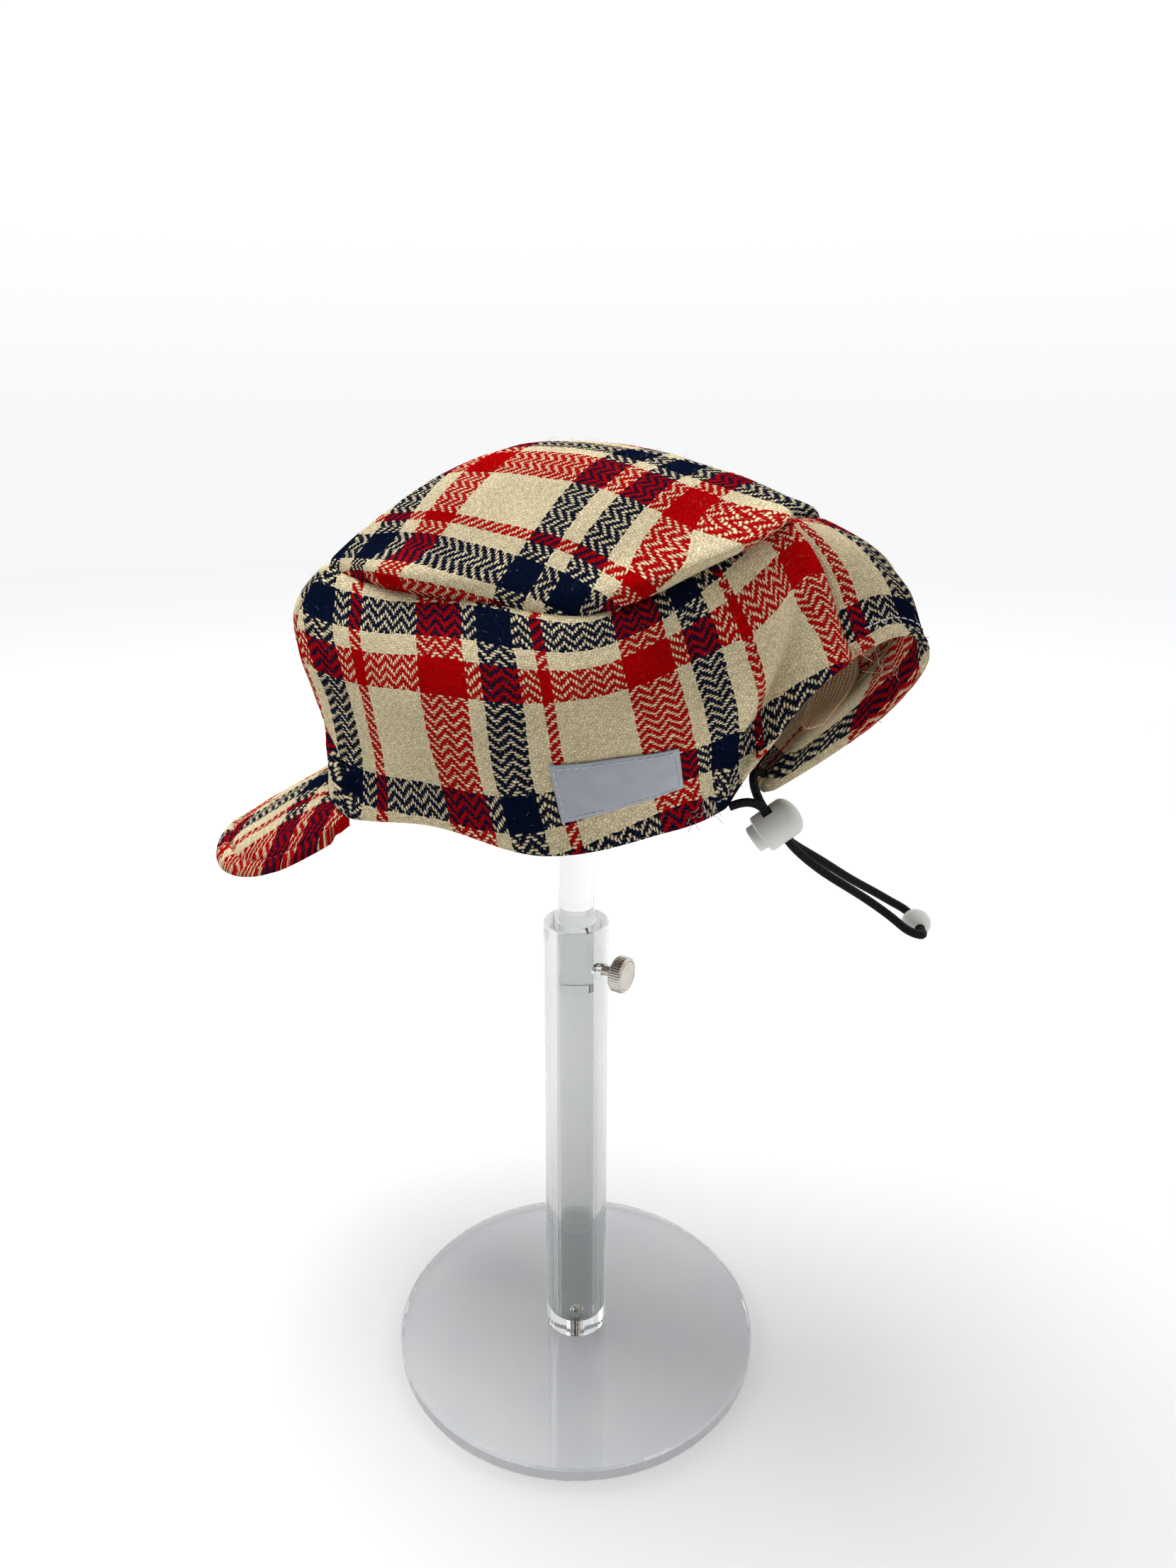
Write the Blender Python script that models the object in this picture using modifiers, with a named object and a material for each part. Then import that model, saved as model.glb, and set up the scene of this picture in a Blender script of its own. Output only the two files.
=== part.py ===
"""A five-panel plaid wool cap, cinched at the back by a bungee cord, on its clear display stand.

Metres, +Z up. The origin is the middle of the base's underside. The bill points to -Y, the back
arch to +Y, and the wearer's left side, with the label, is +X.
"""

import math

import bmesh
import bpy
import numpy as np
from mathutils import Matrix, Vector

# Clearances
GAP = 0.0003  # between pieces that touch

# Stand
BASE_DIAMETER = 0.152
BASE_THICKNESS = 0.006
BASE_BEVEL = 0.0008
COLUMN_DIAMETER = 0.0254
COLUMN_TOP = 0.1957
COLUMN_FLOOR = 0.0052  # solid plug under the bore
COLUMN_BEVEL = 0.0004
ROD_DIAMETER = 0.014
ROD_INSERTION = 0.028  # how far the rod reaches into the column
BASE_SCREW_DIAMETER = 0.004
BASE_SCREW_HEAD = 0.008
BASE_SCREW_TIP = 0.0018  # shows above the bore's floor
THUMB_DROP = 0.018  # below the column's top
THUMB_HEADING = math.radians(84)
THUMB_SHANK = 0.0042
THUMB_HEAD_DIAMETER = 0.014
THUMB_HEAD_LENGTH = 0.005
THUMB_NECK = 0.005  # bare shank between the column and the head

# Saddle, the bent clear plate that carries the crown
SADDLE_WIDTH = 0.072
SADDLE_TAIL_WIDTH = 0.058
SADDLE_THICKNESS = 0.003
SADDLE_FRONT = 0.062  # reach forward of the rod
SADDLE_BACK = 0.045  # reach back to where the tail turns down
SADDLE_BEND = 0.0295  # radius of that turn
SADDLE_TAIL = 0.054  # drop of the tail below the turn
SADDLE_CORNER = 0.016
SADDLE_SHIFT = -0.005  # the plate sits turned on its rod, so the tail's end lies to the right
SADDLE_SEAT = 0.0009  # from the dome's inner face, at the corners of the plate's facets

# Cap
RIM_HEIGHT = 0.251  # above the ground
RIM_HALF_WIDTH = 0.070
CROWN_REACH = 0.100  # unit of the lengths to the back and front
SIDE_HEIGHT = 0.078
CROWN_HEIGHT = 0.121  # rim to the top of the dome
CLOTH = 0.0020
SEAM_GAP = 0.0003
LIFT = 0.0007  # of the label and the tape above their panels, at the corners of their facets
LABEL_WIDTH = 0.040
LABEL_HEIGHT = 0.0185
LABEL_THICKNESS = 0.0008
TAPE_THICKNESS = 0.0010

# Bill
BILL_LENGTH = 0.0665
BILL_HALF_WIDTH = 0.066
BILL_SIDE_BACK = 0.029  # how far the outline's ends lie behind its middle's root
BILL_FULLNESS = 0.65  # power of the outline's cosine: less is squarer
BILL_THICKNESS = 0.0042
BILL_SLOPE = 0.64  # drop for each metre out from the root, once past the bend
BILL_BEND = 0.012  # radius over which the slope begins
BILL_CURL = 0.021  # extra drop of the sides
BILL_CURL_REACH = 0.028
BILL_SEAT = 0.0012  # root's top below the rim

# Cord, lock and bead
CORD_DIAMETER = 0.0031
BARREL_DIAMETER = 0.0142
BARREL_LENGTH = 0.0155
BARREL_CHAMFER = 0.0009
PLUNGER_DIAMETER = 0.0099
PLUNGER_TRAVEL = 0.0030
PLUNGER_BRIDGE = 0.0017  # above the plunger's cord slot
CORD_HEADING = math.radians(25)  # from +Y towards -X
LOCK_TILT = math.radians(38)
LOCK_CENTRE = (-0.0050, 0.0745, 0.2447)
BEAD_DIAMETER = 0.0102

# Ridge seam behind the front corners, from the left corner round the back to the right one.
# Shares of RIM_HALF_WIDTH, CROWN_REACH and SIDE_HEIGHT.
RIDGE_COLUMNS = ("out", "back", "up")
RIDGE_BACK_ROWS = (
    (0.54, -0.78, 1.03),
    (0.71, -0.45, 0.955),
    (0.83, 0.00, 0.95),
    (0.88, 0.43, 0.975),
    (0.72, 0.60, 1.09),
    (0.41, 0.715, 1.195),
    (0.00, 0.750, 1.26),
    (-0.41, 0.780, 1.235),
    (-0.75, 0.700, 1.13),
    (-0.90, 0.46, 1.00),
    (-0.83, 0.00, 0.95),
    (-0.71, -0.45, 0.955),
    (-0.54, -0.78, 1.03),
)
RIDGE_TIP_ROW = 6
RIDGE_FRONT_ROWS = (
    (-0.54, -0.78, 1.03),
    (-0.28, -0.875, 1.025),
    (0.00, -0.900, 1.03),
    (0.28, -0.875, 1.025),
    (0.54, -0.78, 1.03),
)

# Lower hem from the left cinch round the front to the right cinch, same shares.
HEM_RIM_ROWS = (
    (0.085, 0.595, 0.015),
    (0.30, 0.565, 0.02),
    (0.72, 0.46, 0.04),
    (1.00, 0.20, 0.01),
    (0.99, -0.19, 0.055),
    (0.87, -0.60, -0.01),
    (0.57, -0.815, 0.02),
    (0.00, -0.900, 0.035),
    (-0.57, -0.815, 0.02),
    (-0.87, -0.60, -0.01),
    (-0.99, -0.19, 0.04),
    (-1.00, 0.20, 0.01),
    (-0.74, 0.49, 0.04),
    (-0.32, 0.64, 0.04),
    (-0.115, 0.70, 0.06),
)
HEM_LEFT_SEAM_ROW = 6
HEM_RIGHT_SEAM_ROW = 8
HEM_LEFT_BILL_ROW = 5
HEM_RIGHT_BILL_ROW = 9

# Hem of the back arch from the left cinch over the notch to the right cinch, same shares.
HEM_ARCH_ROWS = (
    (0.085, 0.595, 0.015),
    (0.215, 0.68, 0.22),
    (0.35, 0.78, 0.41),
    (0.39, 0.885, 0.60),
    (0.28, 0.955, 0.70),
    (0.14, 0.977, 0.722),
    (0.00, 0.982, 0.73),
    (-0.17, 1.045, 0.775),
    (-0.36, 1.105, 0.78),
    (-0.52, 1.155, 0.70),
    (-0.52, 1.07, 0.46),
    (-0.41, 0.915, 0.25),
    (-0.22, 0.765, 0.11),
    (-0.115, 0.70, 0.06),
)
NOTCH_ROW = 6

# How far a panel bulges past the straight line from hem to ridge: place along the panel from
# its front seam to the back seam, and the bulge as a share of SIDE_HEIGHT.
BELLY_COLUMNS = ("along", "bulge")
LEFT_BELLY_ROWS = (
    (0.00, 0.15),
    (0.25, 0.13),
    (0.50, 0.14),
    (0.66, 0.22),
    (0.76, 0.27),
    (0.86, 0.13),
    (0.94, 0.06),
    (1.00, 0.045),
)
RIGHT_BELLY_ROWS = (
    (0.00, 0.15),
    (0.25, 0.14),
    (0.50, 0.17),
    (0.66, 0.30),
    (0.76, 0.38),
    (0.86, 0.27),
    (0.94, 0.13),
    (1.00, 0.045),
)
FRONT_BELLY_ROWS = (
    (0.00, 0.15),
    (0.50, 0.24),
    (1.00, 0.15),
)
# A belly is fullest above the middle of the band: the larger the skew, the higher.
LEFT_SKEW_ROWS = (
    (0.00, 2.30),
    (0.30, 1.35),
    (0.62, 1.35),
    (0.78, 1.70),
    (0.88, 1.90),
    (1.00, 1.50),
)
RIGHT_SKEW_ROWS = (
    (0.00, 2.30),
    (0.30, 1.35),
    (0.80, 1.30),
    (1.00, 1.50),
)
CINCH_ALONG = 0.76  # where the cinch sits on the ridge's scale

# Folds pressed into the side panels. The line runs from one place to another, along the panel
# and up it; the width is a share of SIDE_HEIGHT and the depth too.
FOLD_COLUMNS = ("along_a", "up_a", "along_b", "up_b", "width", "depth")
LEFT_FOLD_ROWS = (
    (-0.02, 0.36, 0.13, 0.10, 0.07, 0.070),
    (0.08, 0.93, 0.36, 0.95, 0.06, 0.022),
    (0.60, 0.95, 0.70, 0.70, 0.09, 0.030),
    (0.88, 0.85, 0.80, 0.35, 0.10, 0.020),
)
RIGHT_FOLD_ROWS = (
    (-0.02, 0.34, 0.12, 0.12, 0.07, 0.055),
    (0.30, 0.62, 0.52, 0.45, 0.13, 0.030),
    (0.64, 0.90, 0.74, 0.60, 0.10, 0.035),
    (0.90, 0.60, 0.80, 0.15, 0.12, 0.035),
)

# How far the top panel rolls out over the ridge seam, as a share of SIDE_HEIGHT, along each
# ridge from the front corner to the back tip.
LEFT_ROLL_ROWS = (
    (0.00, 0.010),
    (0.12, 0.035),
    (0.30, 0.032),
    (0.48, 0.020),
    (0.62, 0.045),
    (0.80, 0.052),
    (0.94, 0.035),
    (1.00, 0.030),
)
RIGHT_ROLL_ROWS = (
    (0.00, 0.010),
    (0.30, 0.030),
    (0.70, 0.035),
    (1.00, 0.030),
)
# Steepness of the dome by heading from its centre, in half turns from +X: low is nearly straight
# down to the ridge, high is flat on top and steep at the ridge.
DOME_ROWS = (
    (-1.00, 1.90),
    (-0.72, 1.36),
    (-0.50, 1.50),
    (-0.28, 2.00),
    (0.00, 2.10),
    (0.50, 1.95),
    (0.70, 2.05),
    (1.00, 1.90),
)
ROLL_PLACE = 0.925
ROLL_WIDTH = 0.055
TOP_RINGS = (1.0, 0.965, 0.925, 0.87, 0.76, 0.58, 0.38, 0.18)

# Mesh density
RIM_CELLS = 22
ARCH_CELLS = 10
FRONT_CELLS = 10
BAND_RINGS = 9
BILL_COLUMNS = 28
BILL_ROWS = 7

# The bungee cord's route, chosen by hand: out of the near hem, through the lock on its near
# lane, along to the bead, through it, and back on the far lane into the far hem.
CORD_ROUTE = (
    (0.0052, 0.0604, 0.2523),
    (0.0040, 0.0624, 0.2531),
    (0.0022, 0.0650, 0.2536),
    (0.0005, 0.0676, 0.2532),
    (-0.0007, 0.0695, 0.2521),
    (-0.0015, 0.0710, 0.2507),
    (-0.0019, 0.0719, 0.2494),
    (-0.0027, 0.0736, 0.2471),
    (-0.0035, 0.0752, 0.2447),
    (-0.0042, 0.0769, 0.2423),
    (-0.0050, 0.0786, 0.2400),
    (-0.0054, 0.0795, 0.2387),
    (-0.0070, 0.0826, 0.2349),
    (-0.0112, 0.0908, 0.2273),
    (-0.0166, 0.1022, 0.2191),
    (-0.0186, 0.1098, 0.2141),
    (-0.0180, 0.1166, 0.2102),
    (-0.0168, 0.1222, 0.2078),
    (-0.0182, 0.1253, 0.2070),
    (-0.0208, 0.1248, 0.2070),
    (-0.0238, 0.1234, 0.2070),
    (-0.0270, 0.1219, 0.2070),
    (-0.0302, 0.1204, 0.2070),
    (-0.0332, 0.1190, 0.2071),
    (-0.0352, 0.1166, 0.2079),
    (-0.0346, 0.1126, 0.2100),
    (-0.0316, 0.1066, 0.2140),
    (-0.0260, 0.0984, 0.2200),
    (-0.0172, 0.0874, 0.2296),
    (-0.0104, 0.0802, 0.2362),
    (-0.0085, 0.0780, 0.2387),
    (-0.0081, 0.0771, 0.2400),
    (-0.0073, 0.0755, 0.2423),
    (-0.0065, 0.0738, 0.2447),
    (-0.0058, 0.0721, 0.2471),
    (-0.0050, 0.0704, 0.2494),
    (-0.0046, 0.0695, 0.2507),
    (-0.0041, 0.0680, 0.2535),
    (-0.0043, 0.0664, 0.2570),
    (-0.0059, 0.0653, 0.2601),
    (-0.0082, 0.0653, 0.2614),
    (-0.0100, 0.0664, 0.2613),
    (-0.0108, 0.0684, 0.2601),
)
CORD_POINTS = 68
BEAD_CENTRE = (-0.0270, 0.1219, 0.2070)


def clear_scene():
    for thing in list(bpy.data.objects):
        bpy.data.objects.remove(thing)


def new_collection(name, shown):
    made = bpy.data.collections.new(name)
    made.hide_render = not shown
    bpy.context.scene.collection.children.link(made)
    return made


def material(name, colour, roughness, metallic=0.0):
    made = bpy.data.materials.new(name)
    made.use_nodes = True
    made.diffuse_color = (*colour, 1)
    shader = made.node_tree.nodes["Principled BSDF"]
    shader.inputs["Base Color"].default_value = (*colour, 1)
    shader.inputs["Roughness"].default_value = roughness
    shader.inputs["Metallic"].default_value = metallic
    return made


def mesh_object(name, points, faces, finish, collection, smooth_angle=40):
    mesh = bpy.data.meshes.new(name)
    mesh.from_pydata([tuple(p) for p in points], [], faces)
    mesh.validate()
    work = bmesh.new()
    work.from_mesh(mesh)
    bmesh.ops.recalc_face_normals(work, faces=work.faces)
    work.to_mesh(mesh)
    work.free()
    mesh.shade_smooth()
    mesh.set_sharp_from_angle(angle=math.radians(smooth_angle))
    mesh.materials.append(finish)
    made = bpy.data.objects.new(name, mesh)
    collection.objects.link(made)
    return made


def turned(name, profile, steps, finish, collection):
    """A solid of revolution round Z. The profile is (radius, height) pairs from top to bottom."""
    points = [(radius, 0, height) for radius, height in profile]
    edges = [(n, n + 1) for n in range(len(points) - 1)]
    mesh = bpy.data.meshes.new(name)
    mesh.from_pydata(points, edges, [])
    mesh.materials.append(finish)
    made = bpy.data.objects.new(name, mesh)
    collection.objects.link(made)
    screw = made.modifiers.new("turn", "SCREW")
    screw.steps = steps
    screw.render_steps = steps
    screw.use_merge_vertices = True
    screw.merge_threshold = 0.00001
    screw.use_normal_calculate = False
    screw.use_smooth_shade = True
    return made


def cut(target, cutter, name):
    boolean = target.modifiers.new(name, "BOOLEAN")
    boolean.operation = "DIFFERENCE"
    boolean.object = cutter
    boolean.solver = "EXACT"


def as_cutter(made):
    made.display_type = "WIRE"
    made.hide_render = True
    return made


def box_cutter(name, size, collection):
    """A box of this size round its own origin."""
    bpy.ops.mesh.primitive_cube_add(size=1)
    made = bpy.context.object
    made.name = name
    made.data.transform(Matrix.Diagonal((*size, 1)))
    for holder in list(made.users_collection):
        holder.objects.unlink(made)
    collection.objects.link(made)
    return as_cutter(made)


def place(made, centre, axes):
    """Puts an object at centre with its own X, Y and Z along the three axes."""
    turn = Matrix([Vector(a) for a in axes]).transposed()
    made.rotation_euler = turn.to_euler()
    made.location = centre
    return made


class Curve:
    """A natural cubic spline through the rows, with the running length as its knots."""

    def __init__(self, rows):
        self.points = np.array(rows, float)
        steps = np.linalg.norm(np.diff(self.points, axis=0), axis=1)
        self.knots = np.concatenate([[0.0], np.cumsum(steps)])
        count = len(self.points)
        system = np.eye(count)
        right = np.zeros_like(self.points)
        for n in range(1, count - 1):
            before = self.knots[n] - self.knots[n - 1]
            after = self.knots[n + 1] - self.knots[n]
            system[n, n - 1 : n + 2] = before, 2 * (before + after), after
            rise = (self.points[n + 1] - self.points[n]) / after
            run_in = (self.points[n] - self.points[n - 1]) / before
            right[n] = 6 * (rise - run_in)
        self.bend = np.linalg.solve(system, right)

    def at(self, place):
        n = int(np.clip(np.searchsorted(self.knots, place) - 1, 0, len(self.knots) - 2))
        span = self.knots[n + 1] - self.knots[n]
        b = (place - self.knots[n]) / span
        a = 1 - b
        bent = (a**3 - a) * self.bend[n] + (b**3 - b) * self.bend[n + 1]
        return a * self.points[n] + b * self.points[n + 1] + bent * span**2 / 6

    def direction(self, place):
        step = self.knots[-1] * 1e-4
        ahead = self.at(min(place + step, self.knots[-1]))
        behind = self.at(max(place - step, 0.0))
        found = ahead - behind
        return found / np.linalg.norm(found)


def cap_points(rows):
    """Turns shares into places."""
    sizes = np.array([RIM_HALF_WIDTH, CROWN_REACH, SIDE_HEIGHT])
    return np.array(rows) * sizes + np.array([0, 0, RIM_HEIGHT])


RIDGE_BACK = Curve(cap_points(RIDGE_BACK_ROWS))
RIDGE_FRONT = Curve(cap_points(RIDGE_FRONT_ROWS))
HEM_RIM = Curve(cap_points(HEM_RIM_ROWS))
HEM_ARCH = Curve(cap_points(HEM_ARCH_ROWS))
CROWN_TOP = RIM_HEIGHT + CROWN_HEIGHT


def table(rows, place):
    columns = np.array(rows)
    return float(np.interp(place, columns[:, 0], columns[:, 1]))


def between(curve, row_a, row_b, share):
    start, end = curve.knots[row_a], curve.knots[row_b]
    return start + (end - start) * share


def ridge_place(side, along):
    """Place on the back ridge: along runs from that side's front corner to the back tip."""
    last = len(RIDGE_BACK_ROWS) - 1
    if side == "left":
        return between(RIDGE_BACK, 0, RIDGE_TIP_ROW, along)
    return between(RIDGE_BACK, last, RIDGE_TIP_ROW, along)


def hem_point(side, along):
    """The side panel's lower edge: the rim up to the cinch, then the arch up to the notch."""
    last_rim = len(HEM_RIM_ROWS) - 1
    last_arch = len(HEM_ARCH_ROWS) - 1
    if along <= CINCH_ALONG:
        share = along / CINCH_ALONG
        if side == "left":
            return HEM_RIM.at(between(HEM_RIM, HEM_LEFT_SEAM_ROW, 0, share))
        return HEM_RIM.at(between(HEM_RIM, HEM_RIGHT_SEAM_ROW, last_rim, share))
    share = (along - CINCH_ALONG) / (1 - CINCH_ALONG)
    if side == "left":
        return HEM_ARCH.at(between(HEM_ARCH, 0, NOTCH_ROW, share))
    return HEM_ARCH.at(between(HEM_ARCH, last_arch, NOTCH_ROW, share))


def level(vector):
    """The outward horizontal unit vector square to a run along the ridge."""
    out = np.array([vector[1], -vector[0], 0.0])
    return out / np.linalg.norm(out)


def ridge_normal(side, along):
    found = level(RIDGE_BACK.direction(ridge_place(side, along)))
    here = RIDGE_BACK.at(ridge_place(side, along))
    return found if found @ (here * (1, 1, 0)) > 0 else -found


def front_normal(share):
    place = between(RIDGE_FRONT, 0, len(RIDGE_FRONT_ROWS) - 1, share)
    found = level(RIDGE_FRONT.direction(place))
    return found if found[1] < 0 else -found


def smoothstep(low, high, value):
    x = min(max((value - low) / (high - low), 0.0), 1.0)
    return x * x * (3 - 2 * x)


def seam_normal(side):
    """Both panels bulge the same way where they meet at a front seam."""
    front = front_normal(1.0 if side == "left" else 0.0)
    found = ridge_normal(side, 0.0) + front
    return found / np.linalg.norm(found)


def fold(rows, along, up, length):
    """Inward depth of all folds at one place on a side panel."""
    here = np.array([along * length, up * SIDE_HEIGHT])
    depth = 0.0
    for along_a, up_a, along_b, up_b, width, deep in rows:
        start = np.array([along_a * length, up_a * SIDE_HEIGHT])
        run = np.array([along_b * length, up_b * SIDE_HEIGHT]) - start
        share = np.clip((here - start) @ run / (run @ run), 0, 1)
        apart = np.linalg.norm(here - start - share * run)
        depth += deep * SIDE_HEIGHT * math.exp(-((apart / (width * SIDE_HEIGHT)) ** 2))
    return depth


def belly_shape(rows, along, up):
    return math.sin(math.pi * up ** table(rows, along))


def side_point(side, along, up):
    """Outer face of a side panel: along from the front seam to the back seam, up from hem to ridge."""
    left = side == "left"
    top = RIDGE_BACK.at(ridge_place(side, along))
    bottom = hem_point(side, along)
    mix = smoothstep(0.0, 0.22, along)
    normal = (1 - mix) * seam_normal(side) + mix * ridge_normal(side, along)
    normal = normal / np.linalg.norm(normal)
    bulge = table(LEFT_BELLY_ROWS if left else RIGHT_BELLY_ROWS, along) * SIDE_HEIGHT
    bulge *= belly_shape(LEFT_SKEW_ROWS if left else RIGHT_SKEW_ROWS, along, up)
    length = abs(ridge_place(side, 1.0) - ridge_place(side, 0.0))
    fade = smoothstep(0.0, 0.05, along) * smoothstep(0.0, 0.05, 1 - along)
    dent = fade * fold(LEFT_FOLD_ROWS if left else RIGHT_FOLD_ROWS, along, up, length)
    dent *= min(1.0, 8 * (1 - up))
    return bottom + (top - bottom) * up + normal * (bulge - dent)


def front_point(share, up):
    """Outer face of the front panel: share from the right front seam to the left one."""
    top = RIDGE_FRONT.at(between(RIDGE_FRONT, 0, len(RIDGE_FRONT_ROWS) - 1, share))
    bottom = HEM_RIM.at(between(HEM_RIM, HEM_RIGHT_SEAM_ROW, HEM_LEFT_SEAM_ROW, share))
    right = smoothstep(0.0, 0.4, 1 - share / 0.5) if share < 0.5 else 0.0
    left = smoothstep(0.0, 0.4, share / 0.5 - 1) if share > 0.5 else 0.0
    normal = front_normal(share) * (1 - right - left)
    normal = normal + seam_normal("right") * right + seam_normal("left") * left
    normal = normal / np.linalg.norm(normal)
    bulge = table(FRONT_BELLY_ROWS, share) * SIDE_HEIGHT
    return bottom + (top - bottom) * up + normal * bulge * belly_shape(LEFT_SKEW_ROWS, 0, up)


def panel_steps():
    rim = np.linspace(0, CINCH_ALONG, RIM_CELLS + 1)
    arch = np.linspace(CINCH_ALONG, 1, ARCH_CELLS + 1)
    return np.concatenate([rim, arch[1:]])


def side_grid(side):
    ups = np.linspace(0, 1, BAND_RINGS)
    return np.array([[side_point(side, a, u) for a in panel_steps()] for u in ups])


def front_grid():
    ups = np.linspace(0, 1, BAND_RINGS)
    shares = np.linspace(0, 1, FRONT_CELLS + 1)
    return np.array([[front_point(s, u) for s in shares] for u in ups])


def ridge_loop():
    """The whole ridge seam with how far the top rolls over it: left, back tip, right, front."""
    steps = panel_steps()
    loop = [(RIDGE_BACK.at(ridge_place("left", a)), table(LEFT_ROLL_ROWS, a)) for a in steps]
    right = [(RIDGE_BACK.at(ridge_place("right", a)), table(RIGHT_ROLL_ROWS, a)) for a in steps]
    loop += right[-2::-1]
    shares = np.linspace(0, 1, FRONT_CELLS + 1)[1:-1]
    ends = len(RIDGE_FRONT_ROWS) - 1
    front_roll = LEFT_ROLL_ROWS[0][1]
    loop += [(RIDGE_FRONT.at(between(RIDGE_FRONT, 0, ends, s)), front_roll) for s in shares]
    return loop


LOOP = ridge_loop()
LOOP_POINTS = np.array([point for point, _ in LOOP])
LOOP_ROLLS = np.array([roll for _, roll in LOOP])
DOME_CENTRE = np.array([0.0, -0.06 * CROWN_REACH, CROWN_TOP])


def top_point(column, ring):
    """Outer face of the top panel on the line from the dome's centre to a place on the ridge."""
    edge = LOOP_POINTS[column]
    flat = (edge - DOME_CENTRE) * (1, 1, 0)
    outward = flat / np.linalg.norm(flat)
    power = table(DOME_ROWS, math.atan2(flat[1], flat[0]) / math.pi)
    rise = (CROWN_TOP - edge[2]) * (1 - ring**power)
    roll = LOOP_ROLLS[column] * SIDE_HEIGHT
    swell = roll * math.exp(-(((ring - ROLL_PLACE) / ROLL_WIDTH) ** 2))
    swell = swell if ring < 1 else 0.0
    base = np.array([DOME_CENTRE[0], DOME_CENTRE[1], edge[2]])
    return base + flat * ring + np.array([0, 0, rise]) + outward * swell


def top_grid():
    columns = range(len(LOOP))
    return np.array([[top_point(c, ring) for c in columns] for ring in TOP_RINGS])


def crown_top_height(x, y):
    """Height of the dome's outer face above a place inside the ridge seam."""
    flat = (LOOP_POINTS - DOME_CENTRE)[:, :2]
    angles = np.arctan2(flat[:, 1], flat[:, 0])
    order = np.argsort(angles)
    reach = np.linalg.norm(flat, axis=1)[order]
    heights = LOOP_POINTS[order, 2]
    here = np.array([x, y]) - DOME_CENTRE[:2]
    angle = math.atan2(here[1], here[0])
    turn = 2 * math.pi
    edge = np.interp(angle, angles[order], reach, period=turn)
    low = np.interp(angle, angles[order], heights, period=turn)
    power = table(DOME_ROWS, angle / math.pi)
    return CROWN_TOP - (CROWN_TOP - low) * (np.linalg.norm(here) / edge) ** power


def key(point):
    return tuple(int(round(value)) for value in np.array(point) * 1e6)


def grid_normals(grid, closed):
    """Unit normals of a grid of points, from its neighbours on each side."""
    if closed:
        across = np.roll(grid, -1, axis=1) - np.roll(grid, 1, axis=1)
    else:
        across = np.gradient(grid, axis=1)
    upward = np.gradient(grid, axis=0)
    normals = np.cross(across, upward)
    return normals / np.linalg.norm(normals, axis=2, keepdims=True)


class Shell:
    """The crown's panels share their seams: normals are averaged there, so the walls are mitred."""

    def __init__(self, grids):
        self.grids = grids
        self.normals = {}
        self.sums = {}
        for name, grid in grids.items():
            normals = grid_normals(grid, closed=name == "top")
            inside = np.array([0, 0, RIM_HEIGHT + 0.6 * SIDE_HEIGHT])
            middle = grid[len(grid) // 2, grid.shape[1] // 2]
            facing = normals[len(grid) // 2, grid.shape[1] // 2] @ (middle - inside)
            self.normals[name] = normals if facing > 0 else -normals
        for name, grid in grids.items():
            for r, c in self.border(name):
                spot = key(grid[r, c])
                self.sums[spot] = self.sums.get(spot, 0) + self.normals[name][r, c]

    def border(self, name):
        rows, columns = self.grids[name].shape[:2]
        if name == "top":
            return [(0, c) for c in range(columns)]
        edge = [(r, c) for r in range(rows) for c in (0, columns - 1)]
        return edge + [(r, c) for r in (0, rows - 1) for c in range(1, columns - 1)]

    def faces(self, name):
        """(outer, inner) grids of a panel, drawn back from its seams by half the seam gap."""
        outer = self.grids[name].copy()
        normals = self.normals[name].copy()
        for r, c in self.border(name):
            total = self.sums[key(outer[r, c])]
            normals[r, c] = total / np.linalg.norm(total)
        inner = outer - normals * CLOTH
        for skin in (outer, inner):
            moved = skin.copy()
            for r, c in self.seams(name):
                near = skin[self.inward(name, r, c)]
                step = near - skin[r, c]
                moved[r, c] = skin[r, c] + step / np.linalg.norm(step) * SEAM_GAP / 2
            skin[:] = moved
        return outer, inner

    def seams(self, name):
        rows, columns = self.grids[name].shape[:2]
        if name == "top":
            return [(0, c) for c in range(columns)]
        sides = [(r, c) for r in range(rows) for c in (0, columns - 1)]
        return sides + [(rows - 1, c) for c in range(1, columns - 1)]

    def inward(self, name, r, c):
        rows, columns = self.grids[name].shape[:2]
        if name == "top":
            return 1, c
        c = min(max(c, 1), columns - 2)
        return (rows - 2 if r == rows - 1 else r), c


def walled(name, outer, inner, closed, finish, collection, apex=None):
    """A closed wall between two grids of points; closed joins the last column to the first."""
    rows, columns = outer.shape[:2]
    count = rows * columns
    points = np.concatenate([outer.reshape(-1, 3), inner.reshape(-1, 3)])
    spans = range(columns if closed else columns - 1)
    faces = []
    for r in range(rows - 1):
        for c in spans:
            a, b = r * columns + c, r * columns + (c + 1) % columns
            faces.append((a, b, b + columns, a + columns))
            faces.append(tuple(n + count for n in (a, a + columns, b + columns, b)))
    edges = [(c, (c + 1) % columns) for c in spans]
    if apex is None:
        last = (rows - 1) * columns
        edges += [(last + (c + 1) % columns, last + c) for c in spans]
    else:
        points = np.concatenate([points, apex])
        last = (rows - 1) * columns
        for c in spans:
            a, b = last + c, last + (c + 1) % columns
            faces.append((a, b, 2 * count))
            faces.append((a + count, 2 * count + 1, b + count))
    if not closed:
        edges += [((r + 1) * columns, r * columns) for r in range(rows - 1)]
        ends = columns - 1
        edges += [(r * columns + ends, (r + 1) * columns + ends) for r in range(rows - 1)]
    for a, b in edges:
        faces.append((b, a, a + count, b + count))
    return mesh_object(name, points, faces, finish, collection)


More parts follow.
